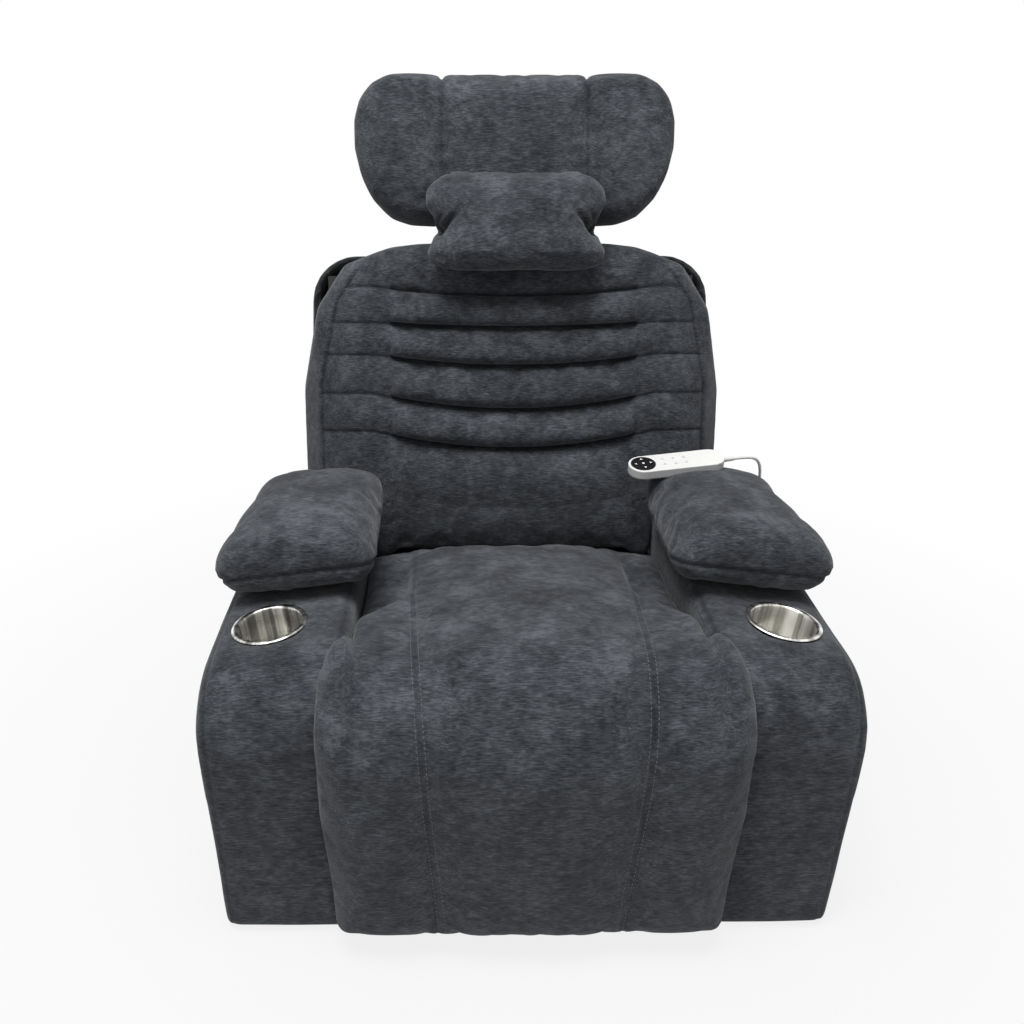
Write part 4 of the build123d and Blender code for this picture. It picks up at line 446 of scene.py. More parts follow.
DIAL_KEYS = tuple(f"dial_key_{place}" for place in ("middle", "up", "down", "left", "right"))
SMALL_KEYS = tuple(f"small_key_{rank}" for rank in range(1, 7))
NODE_FINISHES = (
    (black_paint, "side_plates", "cross_tubes", "arm_bolts", "seat_springs", "back_brackets"),
    (black_paint, "back_lever", "footrest_frame", "headrest_frame", "back_frame"),
    (bright_rod, "footrest_rod", "recline_rod", "headrest_rod", "headrest_pin"),
    (cast_housing, "footrest_actuator", "recline_actuator", "headrest_actuator"),
    (black_plastic, "control_box", "power_inlet", "floor_glides", "cord_grommet"),
    (plywood.material, "left_arm_frame", "right_arm_frame", "seat_frame"),
    (woven_tape, "back_webbing", "pillow_strip", "footrest_board", "headrest_board"),
    (outer_cover, "rear_panel"),
    (handset_white, "handset_lower_shell", "handset_upper_shell"),
    (dial_black, "handset_dial", *DIAL_KEYS),
    (key_face, *SMALL_KEYS),
    (lead_white, "handset_strain_relief"),
    (circuit_green, "handset_circuit"),
)
for material, *nodes in NODE_FINISHES:
    for node in nodes:
        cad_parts[node].data.materials.clear()
        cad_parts[node].data.materials.append(material)


# Handset cord
CORD_ROUTE = (
    (-0.036, 0.474, 0.542), (-0.025, 0.484, 0.529), (-0.019, 0.493, 0.511), (-0.016, 0.500, 0.489),
    (-0.014, 0.504, 0.465), (-0.010, 0.507, 0.442), (-0.001, 0.509, 0.422), (0.012, 0.510, 0.404),
    (0.0225, 0.511, 0.381), (0.027, 0.512, 0.352), (0.028, 0.512, 0.315), (0.0285, 0.5115, 0.270),
    (0.028, 0.511, 0.228), (0.029, 0.510, 0.190), (0.031, 0.511, 0.162), (0.034, 0.516, 0.140),
    (0.038, 0.527, 0.126), (0.043, 0.542, 0.120), (0.048, 0.557, 0.124), (0.052, 0.568, 0.136),
    (0.054, 0.5715, 0.150), (0.054, 0.5717, 0.1635), (0.0475, 0.5714, 0.1755),
)
YAW, PITCH, ROLL = (math.radians(angle) for angle in (8.0, 3.0, 10.0))
ALONG = Vector((math.cos(PITCH) * math.cos(YAW), math.cos(PITCH) * math.sin(YAW), math.sin(PITCH)))
LEVEL = (Vector((0, 0, 1)) - ALONG * ALONG.z).normalized()
FACE = LEVEL * math.cos(ROLL) + ALONG.cross(LEVEL) * math.sin(ROLL)
ACROSS = FACE.cross(ALONG)
HANDSET = Vector((0.260, ARM_FRONT + 0.450, 0.53285))
HANDSET_LENGTH, HANDSET_WIDTH, HANDSET_THICKNESS = 0.160, 0.048, 0.017
RELIEF_LENGTH, RELIEF_RUN, GROMMET_RUN = 0.018, 0.022, 0.0195


def on_handset(u, v, height):
    """Place on the handset from its middle: along it, across it and above its underside."""
    return HANDSET + ALONG * u + ACROSS * v + FACE * height


cord_exit = on_handset(HANDSET_LENGTH / 2 + RELIEF_LENGTH, 0.0, HANDSET_THICKNESS / 2)
grommet_mouth = Vector((0.44821, ARM_FRONT + 0.571, 0.182))
cord_points = [cord_exit, cord_exit + ALONG * RELIEF_RUN]
cord_points += [Vector((ARM_OUTER + out, ARM_FRONT + depth, z)) for out, depth, z in CORD_ROUTE]
cord_points += [grommet_mouth + Vector((GROMMET_RUN, 0, 0)), grommet_mouth]
cord_curve = bpy.data.curves.new("handset_lead", "CURVE")
cord_curve.dimensions = "3D"
cord_curve.bevel_depth = 0.0025
cord_curve.bevel_resolution = 4
cord_line = cord_curve.splines.new("NURBS")
cord_line.points.add(len(cord_points) - 1)
for point, place in zip(cord_line.points, cord_points):
    point.co = (*place, 1.0)
cord_line.order_u = 3
cord_line.use_endpoint_u = True
cord_line.resolution_u = 8
cord_curve.materials.append(lead_white)
lead = bpy.data.objects.new("handset_lead", cord_curve)
scene.collection.objects.link(lead)
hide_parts("handset_cord")
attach(lead, "base")


# Key symbols: thin raised marks that ride on their keys
ARROW = ((-0.0021, -0.0015), (0.0021, -0.0015), (0.0, 0.0022))
DOT_RADIUS, DOT_SIDES = 0.0019, 16
DOT = tuple(
    (DOT_RADIUS * math.cos(turn), DOT_RADIUS * math.sin(turn))
    for turn in np.linspace(0, 2 * math.pi, DOT_SIDES, endpoint=False)
)
DIAL_U = HANDSET_WIDTH / 2 - HANDSET_LENGTH / 2
DIAL_KEY_REACH, DIAL_KEY_RISE, DIAL_MARK_SCALE = 0.0125, 0.0013, 1.15
SMALL_KEY_START, SMALL_KEY_PITCH, SMALL_KEY_ROW = 0.034, 0.018, 0.008
SMALL_KEY_RISE, SMALL_MARK_SCALE, KEYS_IN_ROW = 0.0008, 0.6, 3
MARK_LEVELS = (-0.00002, 0.00012)
MARKS = [
    ("dial_key_middle", DOT, 0, DIAL_U, 0.0),
    ("dial_key_up", ARROW, 0, DIAL_U, DIAL_KEY_REACH),
    ("dial_key_down", ARROW, 180, DIAL_U, -DIAL_KEY_REACH),
    ("dial_key_left", ARROW, 90, DIAL_U - DIAL_KEY_REACH, 0.0),
    ("dial_key_right", ARROW, -90, DIAL_U + DIAL_KEY_REACH, 0.0),
]
for rank, key in enumerate(SMALL_KEYS):
    row, column = divmod(rank, KEYS_IN_ROW)
    along = DIAL_U + SMALL_KEY_START + column * SMALL_KEY_PITCH
    MARKS.append((key, ARROW, 180 * row, along, SMALL_KEY_ROW * (1 - 2 * row)))
for key, shape, turn, along, across in MARKS:
    on_dial = key in DIAL_KEYS
    top = HANDSET_THICKNESS + (DIAL_KEY_RISE if on_dial else SMALL_KEY_RISE)
    scale = DIAL_MARK_SCALE if on_dial else SMALL_MARK_SCALE
    spin = Matrix.Rotation(math.radians(turn), 2)
    ring = [spin @ Vector(point) * scale for point in shape]
    corners = [on_handset(along + u, across + v, top + lift) for lift in MARK_LEVELS for u, v in ring]
    count = len(ring)
    faces = [tuple(range(count, 2 * count)), tuple(reversed(range(count)))]
    faces += [(i, (i + 1) % count, count + (i + 1) % count, count + i) for i in range(count)]
    mesh = bpy.data.meshes.new(key + "_mark")
    mesh.from_pydata(corners, [], faces)
    mesh.materials.append(symbol_white if on_dial else symbol_grey)
    mark = new_piece(key + "_mark", mesh)
    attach(mark, key)


# Stitches along a line
RAY_REACH = 1.0


def stitch_tree():
    """Geometry Nodes tree that lays short stitches end to end along a curve."""
    tree = bpy.data.node_groups.new("stitches", "GeometryNodeTree")
    tree.interface.new_socket("Line", in_out="INPUT", socket_type="NodeSocketGeometry")
    inputs = {}
    for name in ("Pitch", "Length", "Thickness"):
        socket = tree.interface.new_socket(name, in_out="INPUT", socket_type="NodeSocketFloat")
        inputs[name] = socket.identifier
    yarn = tree.interface.new_socket("Thread", in_out="INPUT", socket_type="NodeSocketMaterial")
    inputs["Thread"] = yarn.identifier
    tree.interface.new_socket("Stitches", in_out="OUTPUT", socket_type="NodeSocketGeometry")
    start = tree.nodes.new("NodeGroupInput")
    end = tree.nodes.new("NodeGroupOutput")
    step = tree.nodes.new("GeometryNodeResampleCurve")
    step.mode = "LENGTH"
    stitch = tree.nodes.new("GeometryNodeMeshUVSphere")
    stitch.inputs["Segments"].default_value = 6
    stitch.inputs["Rings"].default_value = 4
    stitch.inputs["Radius"].default_value = 0.5
    size = tree.nodes.new("ShaderNodeCombineXYZ")
    tangent = tree.nodes.new("GeometryNodeInputTangent")
    turn = tree.nodes.new("FunctionNodeAlignRotationToVector")
    turn.axis = "Z"
    lay = tree.nodes.new("GeometryNodeInstanceOnPoints")
    real = tree.nodes.new("GeometryNodeRealizeInstances")
    paint = tree.nodes.new("GeometryNodeSetMaterial")
    for source, target in (
        (start.outputs["Line"], step.inputs["Curve"]),
        (start.outputs["Pitch"], step.inputs["Length"]),
        (start.outputs["Thickness"], size.inputs["X"]),
        (start.outputs["Thickness"], size.inputs["Y"]),
        (start.outputs["Length"], size.inputs["Z"]),
        (tangent.outputs["Tangent"], turn.inputs["Vector"]),
        (step.outputs["Curve"], lay.inputs["Points"]),
        (stitch.outputs["Mesh"], lay.inputs["Instance"]),
        (turn.outputs["Rotation"], lay.inputs["Rotation"]),
        (size.outputs["Vector"], lay.inputs["Scale"]),
        (lay.outputs["Instances"], real.inputs["Geometry"]),
        (real.outputs["Geometry"], paint.inputs["Geometry"]),
        (start.outputs["Thread"], paint.inputs["Material"]),
        (paint.outputs["Geometry"], end.inputs["Stitches"]),
    ):
        tree.links.new(source, target)
    return tree, inputs


stitching, stitch_inputs = stitch_tree()


def stitched(name, lines, **sizes):
    """One mesh of stitches along all these lines of points."""
    curve = bpy.data.curves.new(name + "_line", "CURVE")
    curve.dimensions = "3D"
    for line in lines:
        spline = curve.splines.new("POLY")
        spline.points.add(len(line) - 1)
        for point, place in zip(spline.points, line):
            point.co = (*place, 1.0)
    rough = bpy.data.objects.new(name + "_line", curve)
    scene.collection.objects.link(rough)
    sewing = rough.modifiers.new("Stitches", "NODES")
    sewing.node_group = stitching
    for size, value in {**sizes, "Thread": thread.material}.items():
        sewing[stitch_inputs[size]] = value
    piece = settled(rough, name)
    piece.data.shade_smooth()
    return piece


def skin_of(piece):
    """Search tree of a piece's surface."""
    corners = [vertex.co for vertex in piece.data.vertices]
    return BVHTree.FromPolygons(corners, [face.vertices for face in piece.data.polygons])


def laid_on(skin, rays):
    """Points where these rays first meet the surface."""
    hits = [skin.ray_cast(Vector(eye), Vector(way).normalized(), RAY_REACH)[0] for eye, way in rays]
    return [hit for hit in hits if hit is not None]


# Arms: upholstered boxes with a seam along each side edge
def arm_top(x):
    """Height of the arm's flat top."""
    return ARM_TOP - ARM_TOP_DROP * (abs(x) - ARM_INNER) / ARM_TOP_WIDTH


def cup_seat(way):
    """Place and tilt of a cup in its arm's top."""
    place = Matrix.Translation((way * CUP_OUT, ARM_FRONT + CUP_BEHIND, arm_top(CUP_OUT)))
    return place @ Matrix.Rotation(way * math.atan2(ARM_TOP_DROP, ARM_TOP_WIDTH), 4, "Y")


CUP_ROOM, CUP_DEPTH, CUP_FLOOR_RADIUS, CUP_ABOVE = 0.0485, 0.0775, 0.03, 0.03


def clear_cup(piece, way):
    """Open a cover's hole so that it stays outside the cup."""
    seat = np.array(cup_seat(way))
    local = (points_of(piece.data) - seat[:3, 3]) @ seat[:3, :3]
    radius = np.hypot(local[:, 0], local[:, 1])
    inside = (radius < CUP_ROOM) & (local[:, 2] > -CUP_DEPTH) & (local[:, 2] < CUP_ABOVE)
    wall = inside & (radius > CUP_FLOOR_RADIUS)
    local[wall, :2] *= (CUP_ROOM / radius[wall])[:, None]
    local[inside & ~wall, 2] = -CUP_DEPTH
    put_points(piece.data, local @ seat[:3, :3].T + seat[:3, 3])


def pad_ring(places):
    """Height of the sewn edge round an arm pad; it rises with the pad's nose."""
    under = np.array([arm_top(x) for x in places[:, 0]])
    nose = np.clip(1 - (places[:, 1] - ARM_FRONT - PAD_BEHIND) / PAD_NOSE, 0.0, 1.0)
    return under, under + PAD_RING + PAD_NOSE_LIFT * nose


ARM_SEAM_IN, ARM_FLARE_HEIGHT = 0.012, 0.378
PAD_UNDERSIDE, PAD_RING_HALF = 0.012, 0.004
for side, way in (("left", -1), ("right", 1)):
    arm = soft_shape(f"{side}_arm", [f"{side}_arm_cover"], voxel=0.008, relax=3)
    dent(arm, (0.16, 0.0016, 4 + way), (0.05, 0.0005, 9 + way))
    arm = refined(arm)
    clear_cup(arm, way)
    places, facing = points_of(arm.data), normals_of(arm.data)
    outward = (facing[:, 2] > 0.1) | (facing[:, 1] < -0.3) | (facing[:, 1] > 0.5)
    flare = ARM_FLARE * np.clip(places[:, 2] / ARM_FLARE_HEIGHT, 0.0, 1.0)
    # Side seams drawn in, with painted shade in each groove.
    for edge in (ARM_OUTER - ARM_SEAM_IN + flare, ARM_INNER + ARM_SEAM_IN):
        distance = np.abs(places[:, 0]) - edge
        sew_in(arm, distance, depth=0.0016, width=0.0032, facing=outward * 1.0, dark=0.5)
    dress(arm, upholstery, "base", [f"{side}_arm_cover"])

    pad = soft_shape(f"{side}_arm_pad_cover", [f"{side}_arm_pad"], voxel=0.007, relax=5)
    places = points_of(pad.data)
    under, ring = pad_ring(places)
    sewn = (places[:, 2] < under + PAD_UNDERSIDE) | (np.abs(places[:, 2] - ring) < PAD_RING_HALF)
    stuffed(pad, sewn, pressure=3.5, spare=0.02, cap=0.010)
    dent(pad, (0.07, 0.0016, 14 + way), (0.03, 0.0005, 21 + way))
    pad = refined(pad)
    places = points_of(pad.data)
    side_on = (np.abs(normals_of(pad.data)[:, 2]) < 0.9) * 1.0
    # Seam round the pad drawn in, with painted shade in its groove.
    sew_in(pad, places[:, 2] - pad_ring(places)[1], depth=0.0028, width=0.0034, facing=side_on, dark=0.55)
    dress(pad, upholstery, "base", [f"{side}_arm_pad"])


# Seat and chaise: one cover from the seat over the bend to the foot of the pad
CHAISE_NODES = ["seat_cushion", "chaise_bend", "footrest_pad"]
SEAM_FOOT, SEAM_BEND, SEAM_SEAT, SEAM_REAR = 0.127, 0.143, 0.155, 0.165
SEAM_FOOT_HEIGHT, SEAM_FRONT_RUN, SEAM_SEAT_RUN = 0.05, 0.26, 0.2
STRIP_START, STRIP_SLANT, STRIP_DEPTH, STRIP_FADE = 0.245, 0.075, 0.026, 0.75
SHOULDER_LIFT, SHOULDER_END = 0.010, 0.2445
FOOT_TAPER = 0.05
SEAT_SIDE, CHAISE_SEWN_HALF = 0.233, 0.005
STITCH_OFFSETS, STITCH_STEP, FOOT_STITCH_END = (-0.005, 0.005), 0.004, 0.055
SEAT_ABOVE, FRONT_AHEAD = 0.6, 0.2
chaise = soft_shape("seat_and_chaise", CHAISE_NODES, voxel=0.008, relax=5)


def chaise_outside(places, facing):
    """Where the chaise's cover shows: seat top, bend and front."""
    seat_top = (places[:, 1] > HINGE.y - 0.002) & (facing[:, 2] > 0.35)
    front = (places[:, 1] < ARM_FRONT - 0.02) & (facing[:, 1] < -0.2)
    bend = (places[:, 1] <= HINGE.y) & (places[:, 2] > HINGE.z) & (facing[:, 2] - facing[:, 1] > 0.5)
    return seat_top | front | bend


def seam_half(y, z):
    """Distance of the long seams from the middle: they run apart from the foot up to the seat."""
    rise = np.clip((z - SEAM_FOOT_HEIGHT) / SEAM_FRONT_RUN, 0.0, 1.0)
    front = SEAM_FOOT + (SEAM_BEND - SEAM_FOOT) * rise
    turn = np.arctan2(np.maximum(z - HINGE.z, 0), np.maximum(HINGE.y - y, TINY)) * 2 / math.pi
    bend = SEAM_BEND + (SEAM_SEAT - SEAM_BEND) * turn
    seat = SEAM_SEAT + (SEAM_REAR - SEAM_SEAT) * np.clip((y - HINGE.y) / SEAM_SEAT_RUN, 0.0, 1.0)
    return np.select([y >= HINGE.y, z >= HINGE.z], [seat, bend], front)


def foot_taper(z):
    """Share by which the chaise narrows towards its foot."""
    return FOOT_TAPER * smooth_between(0.30, 0.05, z)


def off_seam(places):
    """Each point's distance from the nearer long seam, outwards positive."""
    return np.abs(places[:, 0]) - seam_half(places[:, 1], places[:, 2])


places, facing = points_of(chaise.data), normals_of(chaise.data)
shown = chaise_outside(places, facing)
sewn = ~shown | (np.abs(off_seam(places)) < CHAISE_SEWN_HALF)
sewn |= (np.abs(places[:, 0]) > SEAT_SIDE) & (places[:, 1] > ARM_FRONT)
stuffed(chaise, sewn, pressure=3.0, spare=0.02, cap=0.011)
chaise = refined(chaise)
places, facing = points_of(chaise.data), normals_of(chaise.data)
half, behind, height = np.abs(places[:, 0]), places[:, 1] - ARM_FRONT, places[:, 2]
side_gap = off_seam(places)
strip_start = STRIP_START - STRIP_SLANT * np.clip(side_gap / STRIP_SLANT, 0.0, 1.0)
strip = smooth_between(-0.002, 0.014, side_gap) * smooth_between(-0.008, 0.05, behind - strip_start)
strip *= (height > 0.35) * (1 - STRIP_FADE * smooth_between(0.30, 0.44, behind))
shoulder = smooth_between(0.200, 0.238, half) * (half < SHOULDER_END) * (height > 0.36)
shoulder *= smooth_between(0.20, 0.14, behind) * (facing[:, 2] > 0.2)
places[:, 0] *= 1 - foot_taper(height) * (behind < 0.01)
places[:, 2] += SHOULDER_LIFT * shoulder - STRIP_DEPTH * strip
put_points(chaise.data, places)
dent(chaise, (0.11, 0.0016, 31), (0.035, 0.0004, 33))
places = points_of(chaise.data)
shown = chaise_outside(places, normals_of(chaise.data)) * 1.0
# Long seams drawn in, with painted shade in their grooves.
sew_in(chaise, off_seam(places), depth=0.0013, width=0.0030, facing=shown, dark=0.28)
dress(chaise, upholstery, None, CHAISE_NODES)

skin = skin_of(chaise)
rows = []
for way in (-1, 1):
    for offset in STITCH_OFFSETS:
        rays = []
        for y in np.arange(ARM_FRONT + 0.30, HINGE.y, -STITCH_STEP):
            rays.append(((way * (seam_half(y, SEAT_ABOVE) + offset), y, SEAT_ABOVE), (0, 0, -1)))
        for turn in np.radians(np.arange(90, 180.1, 2.5)):
            out = Vector((0, math.cos(turn), math.sin(turn)))
            spot = HINGE + out * BEND_RADIUS
            across = Vector((way * (seam_half(spot.y, spot.z) + offset), 0, 0))
            rays.append((HINGE + across + out * FRONT_AHEAD, -out))
        for z in np.arange(HINGE.z - STITCH_STEP, FOOT_STITCH_END, -STITCH_STEP):
            half = (seam_half(HINGE.y - BEND_RADIUS, z) + offset) * (1 - foot_taper(z))
            rays.append(((way * half, ARM_FRONT - FRONT_AHEAD, z), (0, 1, 0)))
        rows.append(laid_on(skin, rays))
chaise_stitches = stitched("chaise_stitches", rows, Pitch=0.0068, Length=0.0046, Thickness=0.0010)
for piece in (chaise, chaise_stitches):
    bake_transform(piece)


# Back cushion: puffed ribs between smile-shaped seams, flat panels beside them
SEWN_FROM, SEWN_HALF = 0.215, 0.0045
FRONT_DEPTH = 0.03
SEAM_GRIP, SEAM_PULL, SEAM_REACH = 0.0035, 0.6, 0.34
CORNER_DROP = 0.013
BORDER_IN, LEVELS, LEVELS_PER_METRE = 0.034, 31, 50
back = soft_shape("back_cover", ["back_cushion"], voxel=0.006, relax=4)


def channel_heights(x):
    """Heights of the sewn channels at a distance from the middle."""
    spread = np.minimum(np.abs(x) / CHANNEL_SPREAD, 1.0) ** 2
    return [height + rise * spread for height, rise in CHANNELS]


x, a, b = in_back(points_of(back.data))
front = (normals_of(back.data) @ -BACK_OUT > 0.25) & (a < FRONT_DEPTH)
sewn = ~front | (np.abs(x) > SEWN_FROM)
for height in channel_heights(x):
    sewn |= np.abs(b - height) < SEWN_HALF
stuffed(back, sewn, pressure=3.0, spare=0.03, cap=0.007)
back = refined(back)
places = points_of(back.data)
x, a, b = in_back(places)
front = smooth_between(0.1, 0.4, normals_of(back.data) @ -BACK_OUT) * (a < FRONT_DEPTH)
rib_end = np.clip((np.abs(x) - RIB_STRAIGHT) / (PUFFED_HALF - RIB_STRAIGHT), 0.0, 1.0)
puffed = np.sqrt(1 - rib_end**2) * front
heights = channel_heights(x)
for upper, lower in zip(heights, heights[1:]):
    rise = (b - lower) / (upper - lower)
    swell = 1 - (1 - rise / RIB_FULLEST) ** 2
    ebb = 0.5 + 0.5 * np.cos(np.pi * (rise - RIB_FULLEST) / (1 - RIB_FULLEST))
    full = np.where(rise < RIB_FULLEST, swell, ebb) * puffed * ((rise > 0) & (rise < 1))
    sag = full * smooth_between(0.75, 0.2, rise)
    places -= np.outer(RIB_OUT * full, BACK_OUT) + np.outer(RIB_SAG * sag, BACK_UP)
below = (heights[-1] - b) / LUMBAR_RISE
full = np.clip(below * (2 - below), 0.0, 1.0) * (below > 0) * puffed * smooth_between(0.06, 0.14, b)
places -= np.outer(LUMBAR_OUT * full, BACK_OUT)
for height in heights:
    near = np.exp(-(((b - height) / SEAM_GRIP) ** 2)) * front * (np.abs(x) < SEAM_REACH)
    places += np.outer((height - b) * SEAM_PULL * near, BACK_UP)
low_corner = smooth_between(0.19, 0.225, np.abs(x)) * smooth_between(0.09, 0.03, b)
put_points(back.data, places - np.outer(CORNER_DROP * low_corner, BACK_UP))
level = np.clip((b * LEVELS_PER_METRE).astype(int), 0, LEVELS - 1)
reach = [np.abs(x[(level == step) & (front > 0.5)]).max(initial=0.0) for step in range(LEVELS)]
border = np.interp(b, (np.arange(LEVELS) + 0.5) / LEVELS_PER_METRE, reach) - np.abs(x) - BORDER_IN
ribbed = puffed > 0.02
# Channel seams, seams beside the ribs and the border seam drawn in, with painted shade in their grooves.
for height in heights:
    sew_in(back, b - height, depth=0.007, width=0.0036, facing=front * ribbed)
    beside = front * ~ribbed * (border > 0)
    sew_in(back, b - height, depth=0.0022, width=0.0030, facing=beside, dark=0.75)
sew_in(back, border, depth=0.0020, width=0.0032, facing=front * (b > 0.1) * (b < 0.5), dark=0.6)
dress(back, upholstery, "backrest", ["back_cushion"])


# Outer back and headrest back: taut covers over their shells
LOW_EDGE_OUT = 0.003
for name, node, body, material in (
    ("outer_back_cover", "outer_back", "backrest", outer_cover),
    ("headrest_back_cover", "headrest_back", "headrest", upholstery),
):
    cover = refined(soft_shape(name, [node], voxel=0.008, relax=3))
    places = points_of(cover.data)
    x, a, b = in_back(places)
    low_edge = smooth_between(0.16, 0.06, b) * smooth_between(0.20, 0.225, np.abs(x))
    places[:, 0] += np.sign(x) * LOW_EDGE_OUT * low_edge
    put_points(cover.data, places)
    dress(cover, material, body, [node])


# Headrest: three panels
head = soft_shape("headrest_cover", ["headrest_cushion"], voxel=0.007, relax=4)
x, a, b = in_back(points_of(head.data))
sewn = (a > FRONT_DEPTH) | (np.abs(np.abs(x) - HEAD_SEAM) < SEWN_HALF)
stuffed(head, sewn, pressure=3.5, spare=0.02, cap=0.010)
head = refined(head)
x, a, b = in_back(points_of(head.data))
ahead = (a < HEAD_SEAM_END) * 1.0
# Panel seams drawn in, with painted shade in their grooves.
sew_in(head, np.abs(x) - HEAD_SEAM, depth=0.0018, width=0.0032, facing=ahead, dark=0.32)
dress(head, upholstery, "headrest", ["headrest_cushion"])


# Neck pillow
PILLOW_REAR = -0.052
# Outward pushes at the lower corners and the waist: half width, height, spread across and up, and size
PILLOW_PUSHES = ((0.134, 0.506, 0.024, 0.024, 0.004), (0.126, 0.556, 0.024, 0.018, 0.003))
# Folds on each side: start and end as half width and height, and depth
PILLOW_FOLDS = (((0.078, 0.604), (0.121, 0.556), 0.009), ((0.112, 0.600), (0.128, 0.560), 0.004))
pillow = soft_shape("pillow_cover", ["neck_pillow"], voxel=0.005, relax=4)
x, a, b = in_back(points_of(pillow.data))
stuffed(pillow, a > PILLOW_REAR, pressure=4.0, spare=0.05, cap=0.010)
pillow = refined(pillow)
places = points_of(pillow.data)
x, a, b = in_back(places)
for way in (-1, 1):
    for middle, height, wide, high, push in PILLOW_PUSHES:
        offset = ((x - way * middle) / wide) ** 2 + ((b - height) / high) ** 2
        places[:, 0] += way * push * np.exp(-offset)
put_points(pillow.data, places)
dent(pillow, (0.05, 0.0016, 61))
ahead = smooth_between(-0.1, 0.3, normals_of(pillow.data) @ -BACK_OUT)
# Folds drawn in, with painted shade in them.
for start, end, depth in PILLOW_FOLDS:
    run = np.subtract(end, start)
    spot = np.column_stack((np.abs(x), b)) - start
    along = np.clip(spot @ run / (run @ run), 0.0, 1.0)
    away = np.linalg.norm(spot - np.outer(along, run), axis=1)
    sew_in(pillow, away, depth, width=0.0055, facing=ahead * smooth_between(0.0, 0.8, along), dark=0.8)
dress(pillow, upholstery, "headrest", ["neck_pillow"])


# Cup holders: spun steel with a rolled lip
CUP_PROFILE = (
    (0.0, -0.0726), (0.030, -0.0726), (0.040, -0.0722), (0.0437, -0.0700), (0.0450, -0.0660),
    (0.0450, -0.0350), (0.0450, -0.0010), (0.0456, 0.0012), (0.0470, 0.0024), (0.0500, 0.0028),
    (0.0525, 0.0026), (0.0537, 0.0016), (0.0538, 0.0006), (0.0528, 0.0004), (0.0470, 0.0004),
    (0.0461, -0.0010), (0.0461, -0.0350), (0.0461, -0.0660), (0.0448, -0.0712), (0.0405, -0.0736),
    (0.030, -0.0740), (0.0, -0.0740),
)
CUP_SEGMENTS = 96
CUP_WELD = 0.00001
for side, way in (("left", -1), ("right", 1)):
    shape = bmesh.new()
    line = [shape.verts.new((radius, 0.0, height)) for radius, height in CUP_PROFILE]
    line += [shape.edges.new(pair) for pair in zip(line, line[1:])]
    bmesh.ops.spin(
        shape, geom=line, axis=(0, 0, 1), cent=(0, 0, 0), angle=2 * math.pi, steps=CUP_SEGMENTS
    )
    bmesh.ops.remove_doubles(shape, verts=shape.verts, dist=CUP_WELD)
    bmesh.ops.recalc_face_normals(shape, faces=shape.faces)
    mesh = bpy.data.meshes.new(f"{side}_cup")
    shape.to_mesh(mesh)
    shape.free()
    spots = points_of(mesh)[:, :2]
    spots /= np.maximum(np.linalg.norm(spots, axis=1, keepdims=True), TINY)
    # Direction round the cup's axis, which lays out the painted reflection bands.
    turn = mesh.attributes.new("around", "FLOAT_VECTOR", "POINT")
    turn.data.foreach_set("vector", np.column_stack((spots, np.full(len(spots), way))).ravel())
    mesh.transform(cup_seat(way))
    cup = new_piece(f"{side}_cup", mesh)
    dress(cup, spun_steel.material, "base", [f"{side}_cup_holder"])


# Floor and light
FLOOR_HALF = 8
floor_corners = [(x * FLOOR_HALF, y * FLOOR_HALF, 0) for x, y in ((-1, -1), (1, -1), (1, 1), (-1, 1))]
floor_mesh = bpy.data.meshes.new("floor")
floor_mesh.from_pydata(floor_corners, [], [(0, 1, 2, 3)])
floor = new_piece("floor", floor_mesh)
floor_finish = Finish("pale_floor")
floor_finish.set(Base_Color=(0.6, 0.6, 0.6, 1.0), Roughness=0.9, Specular_IOR_Level=0.1)


def background_rays(tree):
    """1 for rays that show the background: straight from the camera, off metal or through glass."""
    rays = tree.nodes.new("ShaderNodeLightPath")
    total = rays.outputs["Is Camera Ray"]
    for kind in ("Is Glossy Ray", "Is Transmission Ray"):
        either = tree.nodes.new("ShaderNodeMath")
        either.operation = "MAXIMUM"
        tree.links.new(total, either.inputs[0])
        tree.links.new(rays.outputs[kind], either.inputs[1])
        total = either.outputs[0]
    return total


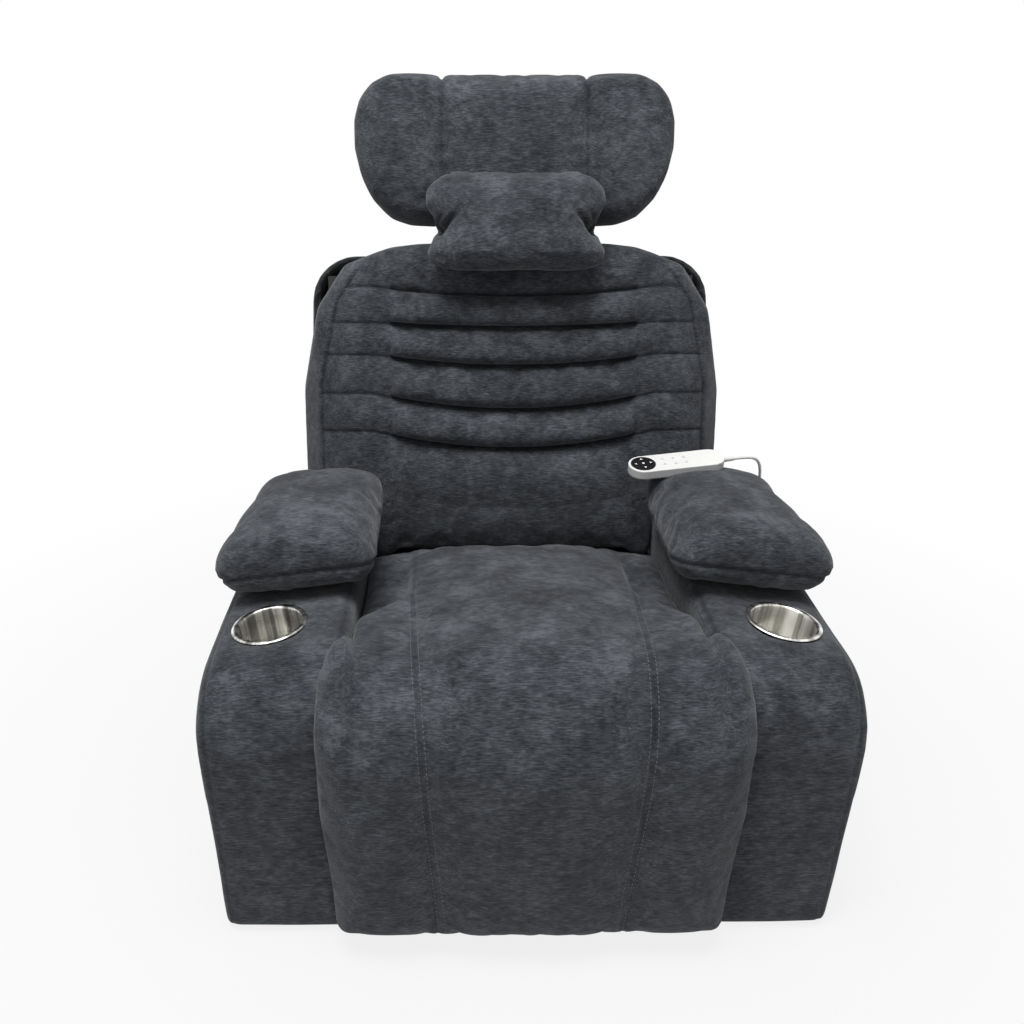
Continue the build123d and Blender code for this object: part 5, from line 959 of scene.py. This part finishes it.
distance = floor_finish.add("ShaderNodeVectorMath", operation="LENGTH")
floor_finish.join(floor_finish.place, distance.inputs[0])
fade = floor_finish.add("ShaderNodeMapRange")
for name, value in (("From Min", 0.55), ("From Max", 1.5), ("To Min", 0.84), ("To Max", 1.0)):
    fade.inputs[name].default_value = value
floor_finish.join(distance.outputs["Value"], fade.inputs["Value"])
glow = floor_finish.add("ShaderNodeEmission")
cover = floor_finish.add("ShaderNodeMixShader")
glow_share = floor_finish.math("MULTIPLY", background_rays(floor_finish.tree), fade.outputs["Result"])
floor_finish.join(glow_share, cover.inputs["Fac"])
floor_finish.join(floor_finish.shader.outputs["BSDF"], cover.inputs[1])
floor_finish.join(glow.outputs["Emission"], cover.inputs[2])
floor_finish.join(cover.outputs["Shader"], floor_finish.tree.nodes["Material Output"].inputs["Surface"])
floor.data.materials.append(floor_finish.material)

world = bpy.data.worlds.new("studio")
scene.world = world
world.use_nodes = True
sky = world.node_tree.nodes["Background"]
sky.inputs["Color"].default_value = (1.0, 1.0, 1.0, 1.0)
sky.inputs["Strength"].default_value = 0.20
white = world.node_tree.nodes.new("ShaderNodeBackground")
white.inputs["Color"].default_value = (1.0, 1.0, 1.0, 1.0)
choose = world.node_tree.nodes.new("ShaderNodeMixShader")
for source, target in (
    (background_rays(world.node_tree), choose.inputs["Fac"]),
    (sky.outputs["Background"], choose.inputs[1]),
    (white.outputs["Background"], choose.inputs[2]),
    (choose.outputs["Shader"], world.node_tree.nodes["World Output"].inputs["Surface"]),
):
    world.node_tree.links.new(source, target)


def soft_light(name, place, aim, size, power):
    """Square soft box that points at a place."""
    lamp = bpy.data.lights.new(name, "AREA")
    lamp.shape = "SQUARE"
    lamp.size = size
    lamp.energy = power
    light = bpy.data.objects.new(name, lamp)
    light.location = place
    light.rotation_euler = (Vector(aim) - Vector(place)).to_track_quat("-Z", "Y").to_euler()
    scene.collection.objects.link(light)


soft_light("overhead", place=(-0.4, -0.9, 4.2), aim=(0.0, 0.0, 0.4), size=2.1, power=155.0)
soft_light("front_left", place=(-2.0, -2.4, 2.4), aim=(0.0, 0.0, 0.5), size=1.8, power=8.0)
